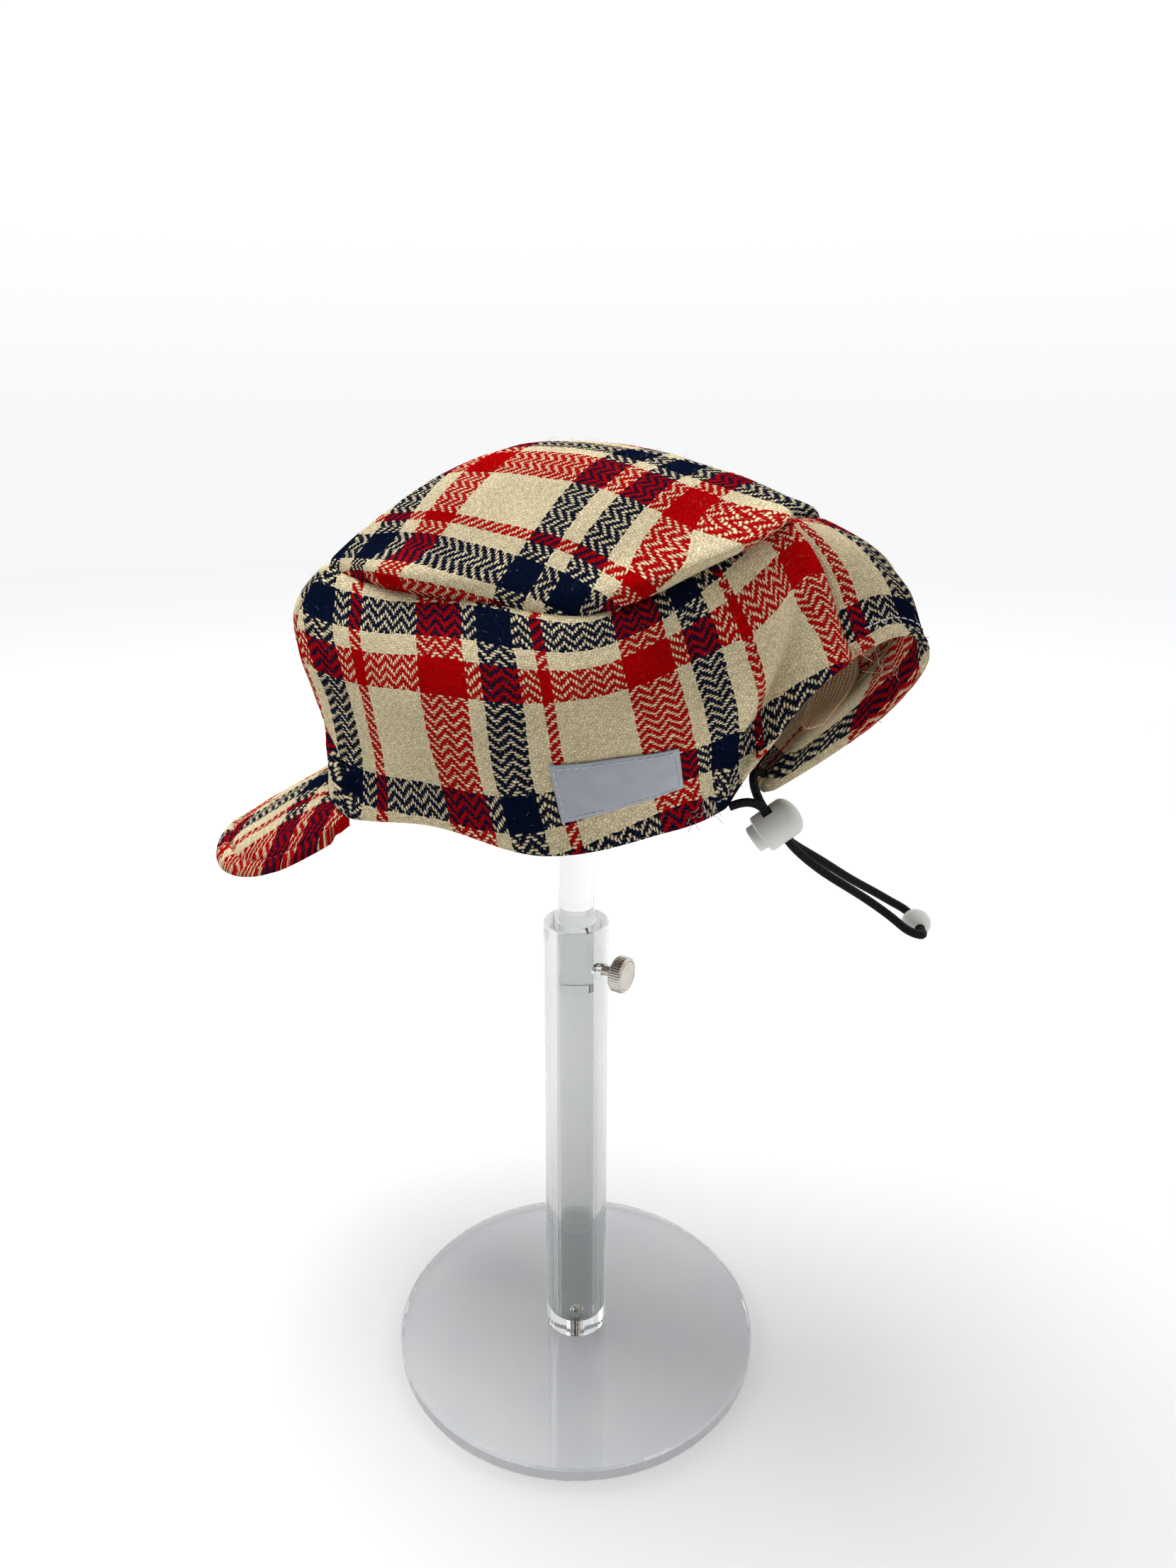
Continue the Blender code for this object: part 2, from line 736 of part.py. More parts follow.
def sheet(name, grid, thickness, inward, finish, collection):
    """An open grid of points made solid; inward says on which side of it the solid lies."""
    rows, columns = grid.shape[:2]
    faces = []
    for r in range(rows - 1):
        for c in range(columns - 1):
            a = r * columns + c
            faces.append((a, a + 1, a + columns + 1, a + columns))
    made = mesh_object(name, grid.reshape(-1, 3), faces, finish, collection)
    normals = np.array([polygon.normal for polygon in made.data.polygons])
    middle = len(faces) // 2
    flip = normals[middle] @ np.array(inward) > 0
    solidify = made.modifiers.new("wall", "SOLIDIFY")
    solidify.thickness = thickness
    solidify.offset = 1 if flip else -1
    solidify.use_even_offset = True
    return made


def crown(finish, collection):
    """Builds the four panels and returns the outer and inner faces of each."""
    shell = Shell(
        {
            "left": side_grid("left"),
            "right": side_grid("right"),
            "front": front_grid(),
            "top": top_grid(),
        }
    )
    skins = {name: shell.faces(name) for name in shell.grids}
    for name in ("left", "right", "front"):
        outer, inner = skins[name]
        walled("crown_%s_panel" % name, outer, inner, False, finish, collection)
    outer, inner = skins["top"]
    apex = np.array([DOME_CENTRE, DOME_CENTRE - (0, 0, CLOTH)])
    walled("crown_top_panel", outer, inner, True, finish, collection, apex)
    return skins


def on_skin(skin, along, up):
    """The place on a side panel's faceted skin."""
    steps = panel_steps()
    c = int(np.clip(np.searchsorted(steps, along) - 1, 0, len(steps) - 2))
    x = (along - steps[c]) / (steps[c + 1] - steps[c])
    ring = up * (BAND_RINGS - 1)
    r = int(np.clip(ring, 0, BAND_RINGS - 2))
    y = ring - r
    low = skin[r, c] * (1 - x) + skin[r, c + 1] * x
    high = skin[r + 1, c] * (1 - x) + skin[r + 1, c + 1] * x
    return low * (1 - y) + high * y


def inward_normal(skin, along, up):
    """Unit vector from a side panel's skin into the cap."""
    step = 0.02
    across = on_skin(skin, along + step, up) - on_skin(skin, along - step, up)
    rise = on_skin(skin, along, up + step) - on_skin(skin, along, up - step)
    found = np.cross(across, rise)
    found = found / np.linalg.norm(found)
    here = on_skin(skin, along, up)
    centre = np.array([0, 0.2 * CROWN_REACH, here[2]])
    return found if found @ (centre - here) > 0 else -found


# Where the label and the tape lie on their panels, along and up
LABEL_PLACE = (0.573, 0.302)
LABEL_TURN = math.radians(8)
# Both edges of the tape, from its upper end to its lower one.
TAPE_COLUMNS = ("near_along", "near_up", "far_along", "far_up")
TAPE_ROWS = (
    (0.640, 0.72, 0.700, 0.76),
    (0.672, 0.55, 0.735, 0.59),
    (0.702, 0.38, 0.768, 0.42),
    (0.722, 0.29, 0.788, 0.29),
    (0.738, 0.22, 0.782, 0.20),
)


def label(skin, finish, collection):
    """The woven label lies flat on the left panel, a gap clear of the cloth."""
    along, up = LABEL_PLACE
    step = 0.02
    here = on_skin(skin, along, up)
    stretch = np.linalg.norm(on_skin(skin, along + step, up) - here) / step
    tall = np.linalg.norm(on_skin(skin, along, up + step) - here) / step
    grid = []
    for v in np.linspace(-0.5, 0.5, 5):
        row = []
        for u in np.linspace(-0.5, 0.5, 11):
            wide, high = u * LABEL_WIDTH, v * LABEL_HEIGHT
            x = wide * math.cos(LABEL_TURN) - high * math.sin(LABEL_TURN)
            y = wide * math.sin(LABEL_TURN) + high * math.cos(LABEL_TURN)
            a, b = along + x / stretch, up + y / tall
            row.append(on_skin(skin, a, b) - inward_normal(skin, a, b) * LIFT)
        grid.append(row)
    outward = -inward_normal(skin, along, up)
    return sheet("side_label", np.array(grid), LABEL_THICKNESS, outward, finish, collection)


def seam_tape(skin, finish, collection):
    """The tan tape runs down inside the right panel and ends above the arch's hem."""
    rows = np.array(TAPE_ROWS)
    knots = np.linspace(0, 1, len(rows))
    grid = []
    for share in np.linspace(0, 1, 14):
        edges = np.array([np.interp(share, knots, rows[:, n]) for n in range(4)])
        row = []
        for width in np.linspace(0, 1, 5):
            along, up = edges[:2] + (edges[2:] - edges[:2]) * width
            row.append(on_skin(skin, along, up) + inward_normal(skin, along, up) * LIFT)
        grid.append(row)
    inward = inward_normal(skin, rows[2][0], rows[2][1])
    return sheet("seam_tape", np.array(grid), TAPE_THICKNESS, inward, finish, collection)


def bill(finish, collection):
    """The padded bill: its root lies under the rim and it droops to the front and sides."""
    upper = []
    lower = []
    for r in range(BILL_ROWS + 1):
        out = r / BILL_ROWS
        upper_row = []
        lower_row = []
        for c in range(BILL_COLUMNS + 1):
            share = c / BILL_COLUMNS
            turn = math.radians(88) * (1 - 2 * share)
            root = HEM_RIM.at(between(HEM_RIM, HEM_LEFT_BILL_ROW, HEM_RIGHT_BILL_ROW, share))
            front = -CROWN_REACH * 0.90 + CLOTH
            side = BILL_SIDE_BACK * (1 - math.cos(turn))
            reach = BILL_LENGTH * math.cos(turn) ** BILL_FULLNESS
            edge = np.array([BILL_HALF_WIDTH * math.sin(turn), front + side - reach, 0])
            inside = (np.array([0, -0.2 * CROWN_REACH, 0]) - root) * (1, 1, 0)
            start = root + inside / np.linalg.norm(inside) * CLOTH
            run = (edge - start) * (1, 1, 0)
            d = np.linalg.norm(run) * out
            x, y = (start + run * out)[:2]
            drop = BILL_SLOPE * (math.hypot(d, BILL_BEND) - BILL_BEND)
            drop += BILL_CURL * (x / BILL_HALF_WIDTH) ** 2 * (1 - math.exp(-d / BILL_CURL_REACH))
            z = root[2] - BILL_SEAT - drop
            thick = BILL_THICKNESS * (1 - 0.35 * max(0.0, out - 0.8) / 0.2)
            upper_row.append((x, y, z))
            lower_row.append((x, y, z - thick))
        upper.append(upper_row)
        lower.append(lower_row)
    return walled("bill", np.array(upper), np.array(lower), False, finish, collection)


def stand_base(finish, collection, cutters):
    radius = BASE_DIAMETER / 2
    profile = [
        (0, BASE_THICKNESS),
        (radius - BASE_BEVEL, BASE_THICKNESS),
        (radius, BASE_THICKNESS - BASE_BEVEL),
        (radius, BASE_BEVEL),
        (radius - BASE_BEVEL, 0),
        (0, 0),
    ]
    made = turned("stand_base", profile, 64, finish, collection)
    head = BASE_SCREW_HEAD / 2 + GAP
    shank = BASE_SCREW_DIAMETER / 2 + GAP
    cone = head - shank
    hole = [
        (0, 2 * BASE_THICKNESS),
        (shank, 2 * BASE_THICKNESS),
        (shank, SCREW_RECESS + cone + GAP),
        (head, SCREW_RECESS + GAP),
        (head, -BASE_THICKNESS),
        (0, -BASE_THICKNESS),
    ]
    cut(made, as_cutter(turned("base_hole_cutter", hole, 20, finish, cutters)), "screw hole")
    return made


SCREW_RECESS = 0.0008


def stand_column(finish, collection, cutters):
    outer = COLUMN_DIAMETER / 2
    bore = ROD_DIAMETER / 2 + GAP
    low = BASE_THICKNESS + GAP
    shank = BASE_SCREW_DIAMETER / 2 + GAP
    floor = low + COLUMN_FLOOR
    profile = [
        (shank, floor),
        (bore, floor),
        (bore, COLUMN_TOP - COLUMN_BEVEL),
        (bore + COLUMN_BEVEL, COLUMN_TOP),
        (outer - COLUMN_BEVEL, COLUMN_TOP),
        (outer, COLUMN_TOP - COLUMN_BEVEL),
        (outer, low),
        (shank, low),
        (shank, floor),
    ]
    made = turned("stand_column", profile, 40, finish, collection)
    bpy.ops.mesh.primitive_cylinder_add(vertices=16, radius=THUMB_SHANK / 2 + GAP, depth=COLUMN_DIAMETER)
    hole = bpy.context.object
    hole.name = "thumb_hole_cutter"
    for holder in list(hole.users_collection):
        holder.objects.unlink(hole)
    cutters.objects.link(as_cutter(hole))
    place(hole, thumb_point(COLUMN_DIAMETER / 2 + bore / 2), thumb_axes())
    cut(made, hole, "thumb screw hole")
    return made


def thumb_axes():
    """Own Z runs out along the thumb screw, own X straight up."""
    out = Vector((math.cos(THUMB_HEADING), math.sin(THUMB_HEADING), 0))
    up = Vector((0, 0, 1))
    return up, out.cross(up), out


def thumb_point(distance):
    height = COLUMN_TOP - THUMB_DROP
    return (distance * math.cos(THUMB_HEADING), distance * math.sin(THUMB_HEADING), height)


def thumb_screw(finish, collection):
    start = ROD_DIAMETER / 2 + 2 * GAP
    neck = COLUMN_DIAMETER / 2 + THUMB_NECK
    end = neck + THUMB_HEAD_LENGTH
    shank = THUMB_SHANK / 2
    head = THUMB_HEAD_DIAMETER / 2
    rim = 0.0006
    profile = [
        (0, end),
        (head - rim, end),
        (head, end - rim),
        (head, neck + rim),
        (head - rim, neck),
        (shank, neck),
        (shank, start + rim),
        (shank - rim, start),
        (0, start),
    ]
    made = turned("thumb_screw", profile, 28, finish, collection)
    return place(made, thumb_point(0), thumb_axes())


def base_screw(finish, collection):
    head = BASE_SCREW_HEAD / 2
    shank = BASE_SCREW_DIAMETER / 2
    tip = BASE_THICKNESS + GAP + COLUMN_FLOOR + BASE_SCREW_TIP
    profile = [
        (0, tip),
        (shank * 0.5, tip),
        (shank, tip - shank * 0.5),
        (shank, SCREW_RECESS + head - shank),
        (head, SCREW_RECESS),
        (head, SCREW_RECESS - 0.0004),
        (0, SCREW_RECESS - 0.0004),
    ]
    return turned("base_screw", profile, 20, finish, collection)


def saddle_top(x, y):
    """Just under the dome's wall, which is thicker measured straight down where it slopes."""
    step = 0.002
    high = crown_top_height(x, y)
    slope_x = (crown_top_height(x + step, y) - high) / step
    slope_y = (crown_top_height(x, y + step) - high) / step
    return high - (CLOTH + SADDLE_SEAT) * math.sqrt(1 + slope_x**2 + slope_y**2)


def rounded_end(distance):
    """Half-width lost to the round corner at this distance from the plate's end."""
    if distance >= SADDLE_CORNER:
        return 0.0
    slack = SADDLE_CORNER - distance
    return SADDLE_CORNER - math.sqrt(SADDLE_CORNER**2 - slack**2)


def stand_saddle(finish, collection):
    """The plate follows the dome's inside, then turns down inside the back of the crown."""
    columns = np.linspace(-1, 1, 9)
    wide = SADDLE_WIDTH / 2
    narrow = SADDLE_TAIL_WIDTH / 2
    grid = []
    for y in np.linspace(-SADDLE_FRONT, SADDLE_BACK, 12):
        half = wide + (narrow - wide) * smoothstep(0.4 * SADDLE_BACK, SADDLE_BACK, y)
        half -= rounded_end(y + SADDLE_FRONT)
        middle = SADDLE_SHIFT * y / SADDLE_BACK
        grid.append([(middle + half * c, y, saddle_top(middle + half * c, y)) for c in columns])
    high = saddle_top(SADDLE_SHIFT, SADDLE_BACK)
    for turn in np.linspace(0, 1, 11)[1:]:
        angle = turn * math.radians(78)
        half = narrow - rounded_end((1 - turn) * 2 * SADDLE_TAIL)
        y = SADDLE_BACK + SADDLE_BEND * math.sin(angle)
        middle = SADDLE_SHIFT * y / SADDLE_BACK
        fall = SADDLE_BEND * (1 - math.cos(angle)) + SADDLE_TAIL * turn**1.6
        row = []
        for c in columns:
            x = middle + half * c
            sag = (high - saddle_top(SADDLE_SHIFT + half * c, SADDLE_BACK)) * (1 - turn**2)
            row.append((x, y, high - sag - fall))
        grid.append(row)
    return sheet("stand_saddle", np.array(grid), SADDLE_THICKNESS, (0, 0, -1), finish, collection)


def stand_rod(finish, collection):
    radius = ROD_DIAMETER / 2
    low = COLUMN_TOP - ROD_INSERTION
    high = min(saddle_top(radius * math.cos(a), radius * math.sin(a)) for a in np.linspace(0, 6.28, 25))
    high -= SADDLE_THICKNESS * 1.02 + 2 * GAP
    rim = 0.0004
    profile = [
        (0, high),
        (radius - rim, high),
        (radius, high - rim),
        (radius, low + rim),
        (radius - rim, low),
        (0, low),
    ]
    return turned("stand_rod", profile, 32, finish, collection)


def lock_axes():
    """Own X runs along the cord through the lock, own Z along the plunger into the barrel."""
    along = Vector((-math.sin(CORD_HEADING), math.cos(CORD_HEADING), 0))
    up = Vector((0, 0, 1))
    axis = along * math.cos(LOCK_TILT) + up * math.sin(LOCK_TILT)
    through = along * math.sin(LOCK_TILT) - up * math.cos(LOCK_TILT)
    return through, axis.cross(through), axis


CORD_LANES = 2 * CORD_DIAMETER + 4 * GAP  # both strands side by side


def cord_lock(finish, collection, cutters):
    outer = BARREL_DIAMETER / 2
    low = -BARREL_LENGTH * 0.42
    dome = BARREL_LENGTH * 0.27
    shoulder = low + BARREL_LENGTH - dome
    bore = PLUNGER_DIAMETER / 2 + GAP
    half_cord = CORD_DIAMETER / 2 + GAP
    plunger_top = half_cord + PLUNGER_BRIDGE
    bore_top = plunger_top + PLUNGER_TRAVEL + GAP
    dome_rows = [
        (outer * math.cos(a), shoulder + dome * math.sin(a))
        for a in np.radians([72, 54, 36, 18, 0])
    ]
    profile = [
        (0, shoulder + dome),
        *dome_rows,
        (outer, low + BARREL_CHAMFER),
        (outer - BARREL_CHAMFER, low),
        (bore, low),
        (bore, bore_top),
        (0, bore_top),
    ]
    barrel = turned("cord_lock_barrel", profile, 32, finish, collection)
    place(barrel, LOCK_CENTRE, lock_axes())
    lanes = box_cutter("barrel_lane_cutter", (2 * BARREL_DIAMETER, CORD_LANES, 2 * half_cord), cutters)
    place(lanes, LOCK_CENTRE, lock_axes())
    cut(barrel, lanes, "cord lanes")

    radius = PLUNGER_DIAMETER / 2
    button = low - PLUNGER_TRAVEL - 0.0003
    rim = 0.0006
    profile = [
        (0, plunger_top),
        (radius, plunger_top),
        (radius, button + rim),
        (radius - rim, button),
        (0, button),
    ]
    plunger = turned("cord_lock_plunger", profile, 24, finish, collection)
    place(plunger, LOCK_CENTRE, lock_axes())
    slot_low = -half_cord - PLUNGER_TRAVEL
    slot = box_cutter(
        "plunger_slot_cutter",
        (2 * PLUNGER_DIAMETER, CORD_LANES, half_cord - slot_low),
        cutters,
    )
    axes = lock_axes()
    middle = Vector(LOCK_CENTRE) + axes[2] * (half_cord + slot_low) / 2
    place(slot, middle, axes)
    cut(plunger, slot, "cord slot")


def cord_bead(finish, collection):
    radius = BEAD_DIAMETER / 2
    hole = CORD_DIAMETER / 2 + GAP
    start = math.acos(hole / radius)
    turns = np.linspace(start, -start, 11)
    profile = [(radius * math.cos(a), radius * math.sin(a)) for a in turns]
    profile.append(profile[0])
    made = turned("cord_bead", profile, 16, finish, collection)
    away = Vector((math.cos(CORD_HEADING), math.sin(CORD_HEADING), 0))
    up = Vector((0, 0, 1))
    return place(made, BEAD_CENTRE, (up, away.cross(up), away))


def bungee_cord(finish, collection):
    route = Curve(CORD_ROUTE)
    data = bpy.data.curves.new("bungee_cord", "CURVE")
    data.dimensions = "3D"
    data.bevel_depth = CORD_DIAMETER / 2
    data.bevel_resolution = 2
    data.use_fill_caps = True
    data.materials.append(finish)
    line = data.splines.new("POLY")
    places = np.linspace(0, route.knots[-1], CORD_POINTS)
    line.points.add(CORD_POINTS - 1)
    for point, where in zip(line.points, places):
        point.co = (*route.at(where), 1)
    made = bpy.data.objects.new("bungee_cord", data)
    collection.objects.link(made)
    return made


def build():
    clear_scene()
    cap = new_collection("wool cap on display stand", True)
    cutters = new_collection("cutters", False)
    wool = material("plaid wool", (0.62, 0.18, 0.14), 0.95)
    woven = material("label satin", (0.80, 0.83, 0.86), 0.5)
    tan = material("tan tape", (0.70, 0.52, 0.34), 0.9)
    clear = material("clear acrylic", (0.82, 0.86, 0.88), 0.05)
    nickel = material("nickel", (0.62, 0.58, 0.50), 0.25, 1.0)
    rubber = material("black elastic", (0.01, 0.01, 0.01), 0.6)
    plastic = material("white plastic", (0.80, 0.80, 0.78), 0.4)
    skins = crown(wool, cap)
    bill(wool, cap)
    label(skins["left"][0], woven, cap)
    seam_tape(skins["right"][1], tan, cap)
    bungee_cord(rubber, cap)
    cord_lock(plastic, cap, cutters)
    cord_bead(plastic, cap)
    stand_base(clear, cap, cutters)
    stand_column(clear, cap, cutters)
    stand_rod(clear, cap)
    stand_saddle(clear, cap)
    thumb_screw(nickel, cap)
    base_screw(nickel, cap)


build()
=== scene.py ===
"""The looks of the plaid wool cap and its clear display stand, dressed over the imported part.

Metres, +Z up, in the part's own frame: the bill points to -Y and the wearer's left side is +X.
"""

import math

import bmesh
import bpy
import numpy as np
from mathutils import Matrix, Vector, noise


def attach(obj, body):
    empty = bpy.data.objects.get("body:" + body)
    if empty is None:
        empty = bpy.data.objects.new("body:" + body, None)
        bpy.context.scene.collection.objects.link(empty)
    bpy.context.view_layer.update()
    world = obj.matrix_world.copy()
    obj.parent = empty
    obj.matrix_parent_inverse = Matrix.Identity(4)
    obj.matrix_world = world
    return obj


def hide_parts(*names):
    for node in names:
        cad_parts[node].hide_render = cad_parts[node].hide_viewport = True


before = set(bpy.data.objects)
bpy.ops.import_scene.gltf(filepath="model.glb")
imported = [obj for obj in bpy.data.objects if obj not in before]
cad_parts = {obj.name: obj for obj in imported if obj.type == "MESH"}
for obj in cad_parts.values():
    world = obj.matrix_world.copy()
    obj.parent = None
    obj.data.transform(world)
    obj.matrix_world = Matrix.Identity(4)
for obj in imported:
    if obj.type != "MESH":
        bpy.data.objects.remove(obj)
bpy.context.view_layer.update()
CAP = "cap_and_stand"

# ---------------------------------------------------------------- sizes shared with the part
RIM_HEIGHT = 0.251
RIM_HALF_WIDTH = 0.070
CROWN_REACH = 0.100
SIDE_HEIGHT = 0.078
CROWN_TOP = RIM_HEIGHT + 0.121
CLOTH = 0.0019  # wall of one layer
HEM_STITCH_IN = 0.0055  # the topstitch, in from the arch's edge
HEM_FOLD = 0.0028  # wall where the hem is turned up
HEM_DEPTH = 0.0085  # how far up the turned hem reaches
HEM_STEP = 0.0006  # how sharply it ends
HEM_ROUND = 0.0009  # cloth used up by each step round the hem's edge
CINCH_ALONG = 0.76

# Ridge seam, shares of the half-width, the reach and the side's height
RIDGE_BACK_ROWS = (
    (0.54, -0.78, 1.03),
    (0.71, -0.45, 0.955),
    (0.83, 0.00, 0.95),
    (0.88, 0.43, 0.975),
    (0.72, 0.60, 1.09),
    (0.41, 0.715, 1.195),
    (0.00, 0.750, 1.26),
    (-0.41, 0.780, 1.235),
    (-0.75, 0.700, 1.13),
    (-0.90, 0.46, 1.00),
    (-0.83, 0.00, 0.95),
    (-0.71, -0.45, 0.955),
    (-0.54, -0.78, 1.03),
)
RIDGE_TIP_ROW = 6
RIDGE_FRONT_ROWS = (
    (-0.54, -0.78, 1.03),
    (-0.28, -0.875, 1.025),
    (0.00, -0.900, 1.03),
    (0.28, -0.875, 1.025),
    (0.54, -0.78, 1.03),
)
HEM_RIM_ROWS = (
    (0.085, 0.595, 0.015),
    (0.30, 0.565, 0.02),
    (0.72, 0.46, 0.04),
    (1.00, 0.20, 0.01),
    (0.99, -0.19, 0.055),
    (0.87, -0.60, -0.01),
    (0.57, -0.815, 0.02),
    (0.00, -0.900, 0.035),
    (-0.57, -0.815, 0.02),
    (-0.87, -0.60, -0.01),
    (-0.99, -0.19, 0.04),
    (-1.00, 0.20, 0.01),
    (-0.74, 0.49, 0.04),
    (-0.32, 0.64, 0.04),
    (-0.115, 0.70, 0.06),
)
HEM_LEFT_SEAM_ROW = 6
HEM_RIGHT_SEAM_ROW = 8
HEM_LEFT_BILL_ROW = 5
HEM_RIGHT_BILL_ROW = 9
HEM_ARCH_ROWS = (
    (0.085, 0.595, 0.015),
    (0.215, 0.68, 0.22),
    (0.35, 0.78, 0.41),
    (0.39, 0.885, 0.60),
    (0.28, 0.955, 0.70),
    (0.14, 0.977, 0.722),
    (0.00, 0.982, 0.73),
    (-0.17, 1.045, 0.775),
    (-0.36, 1.105, 0.78),
    (-0.52, 1.155, 0.70),
    (-0.52, 1.07, 0.46),
    (-0.41, 0.915, 0.25),
    (-0.22, 0.765, 0.11),
    (-0.115, 0.70, 0.06),
)
NOTCH_ROW = 6

# Bulge and its skew along each panel, as in the part
LEFT_BELLY_ROWS = (
    (0.00, 0.15),
    (0.25, 0.13),
    (0.50, 0.14),
    (0.66, 0.22),
    (0.76, 0.27),
    (0.86, 0.13),
    (0.94, 0.06),
    (1.00, 0.045),
)
RIGHT_BELLY_ROWS = (
    (0.00, 0.15),
    (0.25, 0.14),
    (0.50, 0.17),
    (0.66, 0.30),
    (0.76, 0.38),
    (0.86, 0.27),
    (0.94, 0.13),
    (1.00, 0.045),
)
FRONT_BELLY_ROWS = ((0.00, 0.15), (0.50, 0.24), (1.00, 0.15))
LEFT_SKEW_ROWS = (
    (0.00, 2.30),
    (0.30, 1.35),
    (0.62, 1.35),
    (0.78, 1.70),
    (0.88, 1.90),
    (1.00, 1.50),
)
RIGHT_SKEW_ROWS = ((0.00, 2.30), (0.30, 1.35), (0.80, 1.30), (1.00, 1.50))

# Folds pressed into the side panels: from along, up to along, up, then width and depth
LEFT_FOLD_ROWS = (
    (-0.02, 0.36, 0.13, 0.10, 0.055, 0.070),
    (0.08, 0.93, 0.36, 0.95, 0.06, 0.022),
    (0.60, 0.95, 0.70, 0.70, 0.09, 0.030),
    (0.755, 0.88, 0.735, 0.28, 0.10, 0.026),
)
RIGHT_FOLD_ROWS = (
    (-0.02, 0.34, 0.12, 0.12, 0.07, 0.055),
    (0.30, 0.62, 0.52, 0.45, 0.13, 0.030),
    (0.64, 0.90, 0.74, 0.60, 0.10, 0.035),
    (0.90, 0.60, 0.80, 0.15, 0.12, 0.035),
)
LEFT_ROLL_ROWS = (
    (0.00, 0.000),
    (0.05, 0.015),
    (0.12, 0.070),
    (0.22, 0.090),
    (0.32, 0.055),
    (0.46, 0.020),
    (0.56, 0.045),
    (0.66, 0.125),
    (0.80, 0.165),
    (0.92, 0.150),
    (0.97, 0.090),
    (1.00, 0.050),
)
RIGHT_ROLL_ROWS = ((0.00, 0.010), (0.30, 0.030), (0.70, 0.035), (1.00, 0.030))
DOME_ROWS = (
    (-1.00, 1.90),
    (-0.72, 1.36),
    (-0.50, 1.50),
    (-0.28, 2.00),
    (0.00, 2.10),
    (0.50, 1.95),
    (0.70, 2.05),
    (1.00, 1.90),
)
ROLL_PLACE = 0.925
ROLL_WIDTH = 0.055
SEAM_DIP = 0.0015  # how deep the cloth is drawn in at a seam
SEAM_REACH = 0.0018
RUMPLES = ((38, 0.00085, (0, 0, 0)), (105, 0.00030, (7, 3, 1)))  # how close, how high, set off by

# Mesh density
RIM_CELLS = 92
ARCH_CELLS = 48
FRONT_CELLS = 36
BAND_RINGS = 49
TOP_RINGS = np.concatenate([np.linspace(1, 0.84, 18), np.linspace(0.82, 0.04, 27)])

# Bill
BILL_LENGTH = 0.0665
BILL_HALF_WIDTH = 0.066
BILL_SIDE_BACK = 0.029
BILL_FULLNESS = 0.65
BILL_THICKNESS = 0.0042
BILL_SLOPE = 0.64
BILL_BEND = 0.012
BILL_CURL = 0.021
BILL_CURL_REACH = 0.028
BILL_SEAT = 0.0012
CHANNEL_IN = 0.0062  # sewn channel round the bill, in from its edge
CHANNEL_WIDTH = 0.0010
CHANNEL_DEPTH = 0.0014
PIPE_SWELL = 0.0007
PAD_SWELL = 0.0009
PAD_REACH = 2.4  # times the channel's distance, where the padding is full
BILL_TURN = math.radians(88)
BILL_ROOT_IN = 0.002  # the root starts this far inside the rim
BILL_TAPER = 0.004  # the edge thins over this width
BILL_THIN = 0.45  # and by this share
BILL_EDGE = 0.0014  # how far the rounded edge stands out
BILL_UNDER = 0.8  # share of the swelling on the underside

# Cord, lock and bead
CORD_DIAMETER = 0.0031
CORD_ROUTE = (
    (0.0052, 0.0604, 0.2523),
    (0.0040, 0.0624, 0.2531),
    (0.0022, 0.0650, 0.2536),
    (0.0005, 0.0676, 0.2532),
    (-0.0007, 0.0695, 0.2521),
    (-0.0015, 0.0710, 0.2507),
    (-0.0019, 0.0719, 0.2494),
    (-0.0027, 0.0736, 0.2471),
    (-0.0035, 0.0752, 0.2447),
    (-0.0042, 0.0769, 0.2423),
    (-0.0050, 0.0786, 0.2400),
    (-0.0054, 0.0795, 0.2387),
    (-0.0070, 0.0826, 0.2349),
    (-0.0112, 0.0908, 0.2273),
    (-0.0166, 0.1022, 0.2191),
    (-0.0186, 0.1098, 0.2141),
    (-0.0180, 0.1166, 0.2102),
    (-0.0168, 0.1222, 0.2078),
    (-0.0182, 0.1253, 0.2070),
    (-0.0208, 0.1248, 0.2070),
    (-0.0238, 0.1234, 0.2070),
    (-0.0270, 0.1219, 0.2070),
    (-0.0302, 0.1204, 0.2070),
    (-0.0332, 0.1190, 0.2071),
    (-0.0352, 0.1166, 0.2079),
    (-0.0346, 0.1126, 0.2100),
    (-0.0316, 0.1066, 0.2140),
    (-0.0260, 0.0984, 0.2200),
    (-0.0172, 0.0874, 0.2296),
    (-0.0104, 0.0802, 0.2362),
    (-0.0085, 0.0780, 0.2387),
    (-0.0081, 0.0771, 0.2400),
    (-0.0073, 0.0755, 0.2423),
    (-0.0065, 0.0738, 0.2447),
    (-0.0058, 0.0721, 0.2471),
    (-0.0050, 0.0704, 0.2494),
    (-0.0046, 0.0695, 0.2507),
    (-0.0041, 0.0680, 0.2535),
    (-0.0043, 0.0664, 0.2570),
    (-0.0059, 0.0653, 0.2601),
    (-0.0082, 0.0653, 0.2614),
    (-0.0100, 0.0664, 0.2613),
    (-0.0108, 0.0684, 0.2601),
)
CORD_HEADING = math.radians(25)
LOCK_TILT = math.radians(38)
LOCK_CENTRE = (-0.0050, 0.0745, 0.2447)
BARREL_DIAMETER = 0.0142
BARREL_LENGTH = 0.0155
PLUNGER_DIAMETER = 0.0099
PLUNGER_TRAVEL = 0.0030
BEAD_CENTRE = (-0.0270, 0.1219, 0.2070)
BEAD_DIAMETER = 0.0102

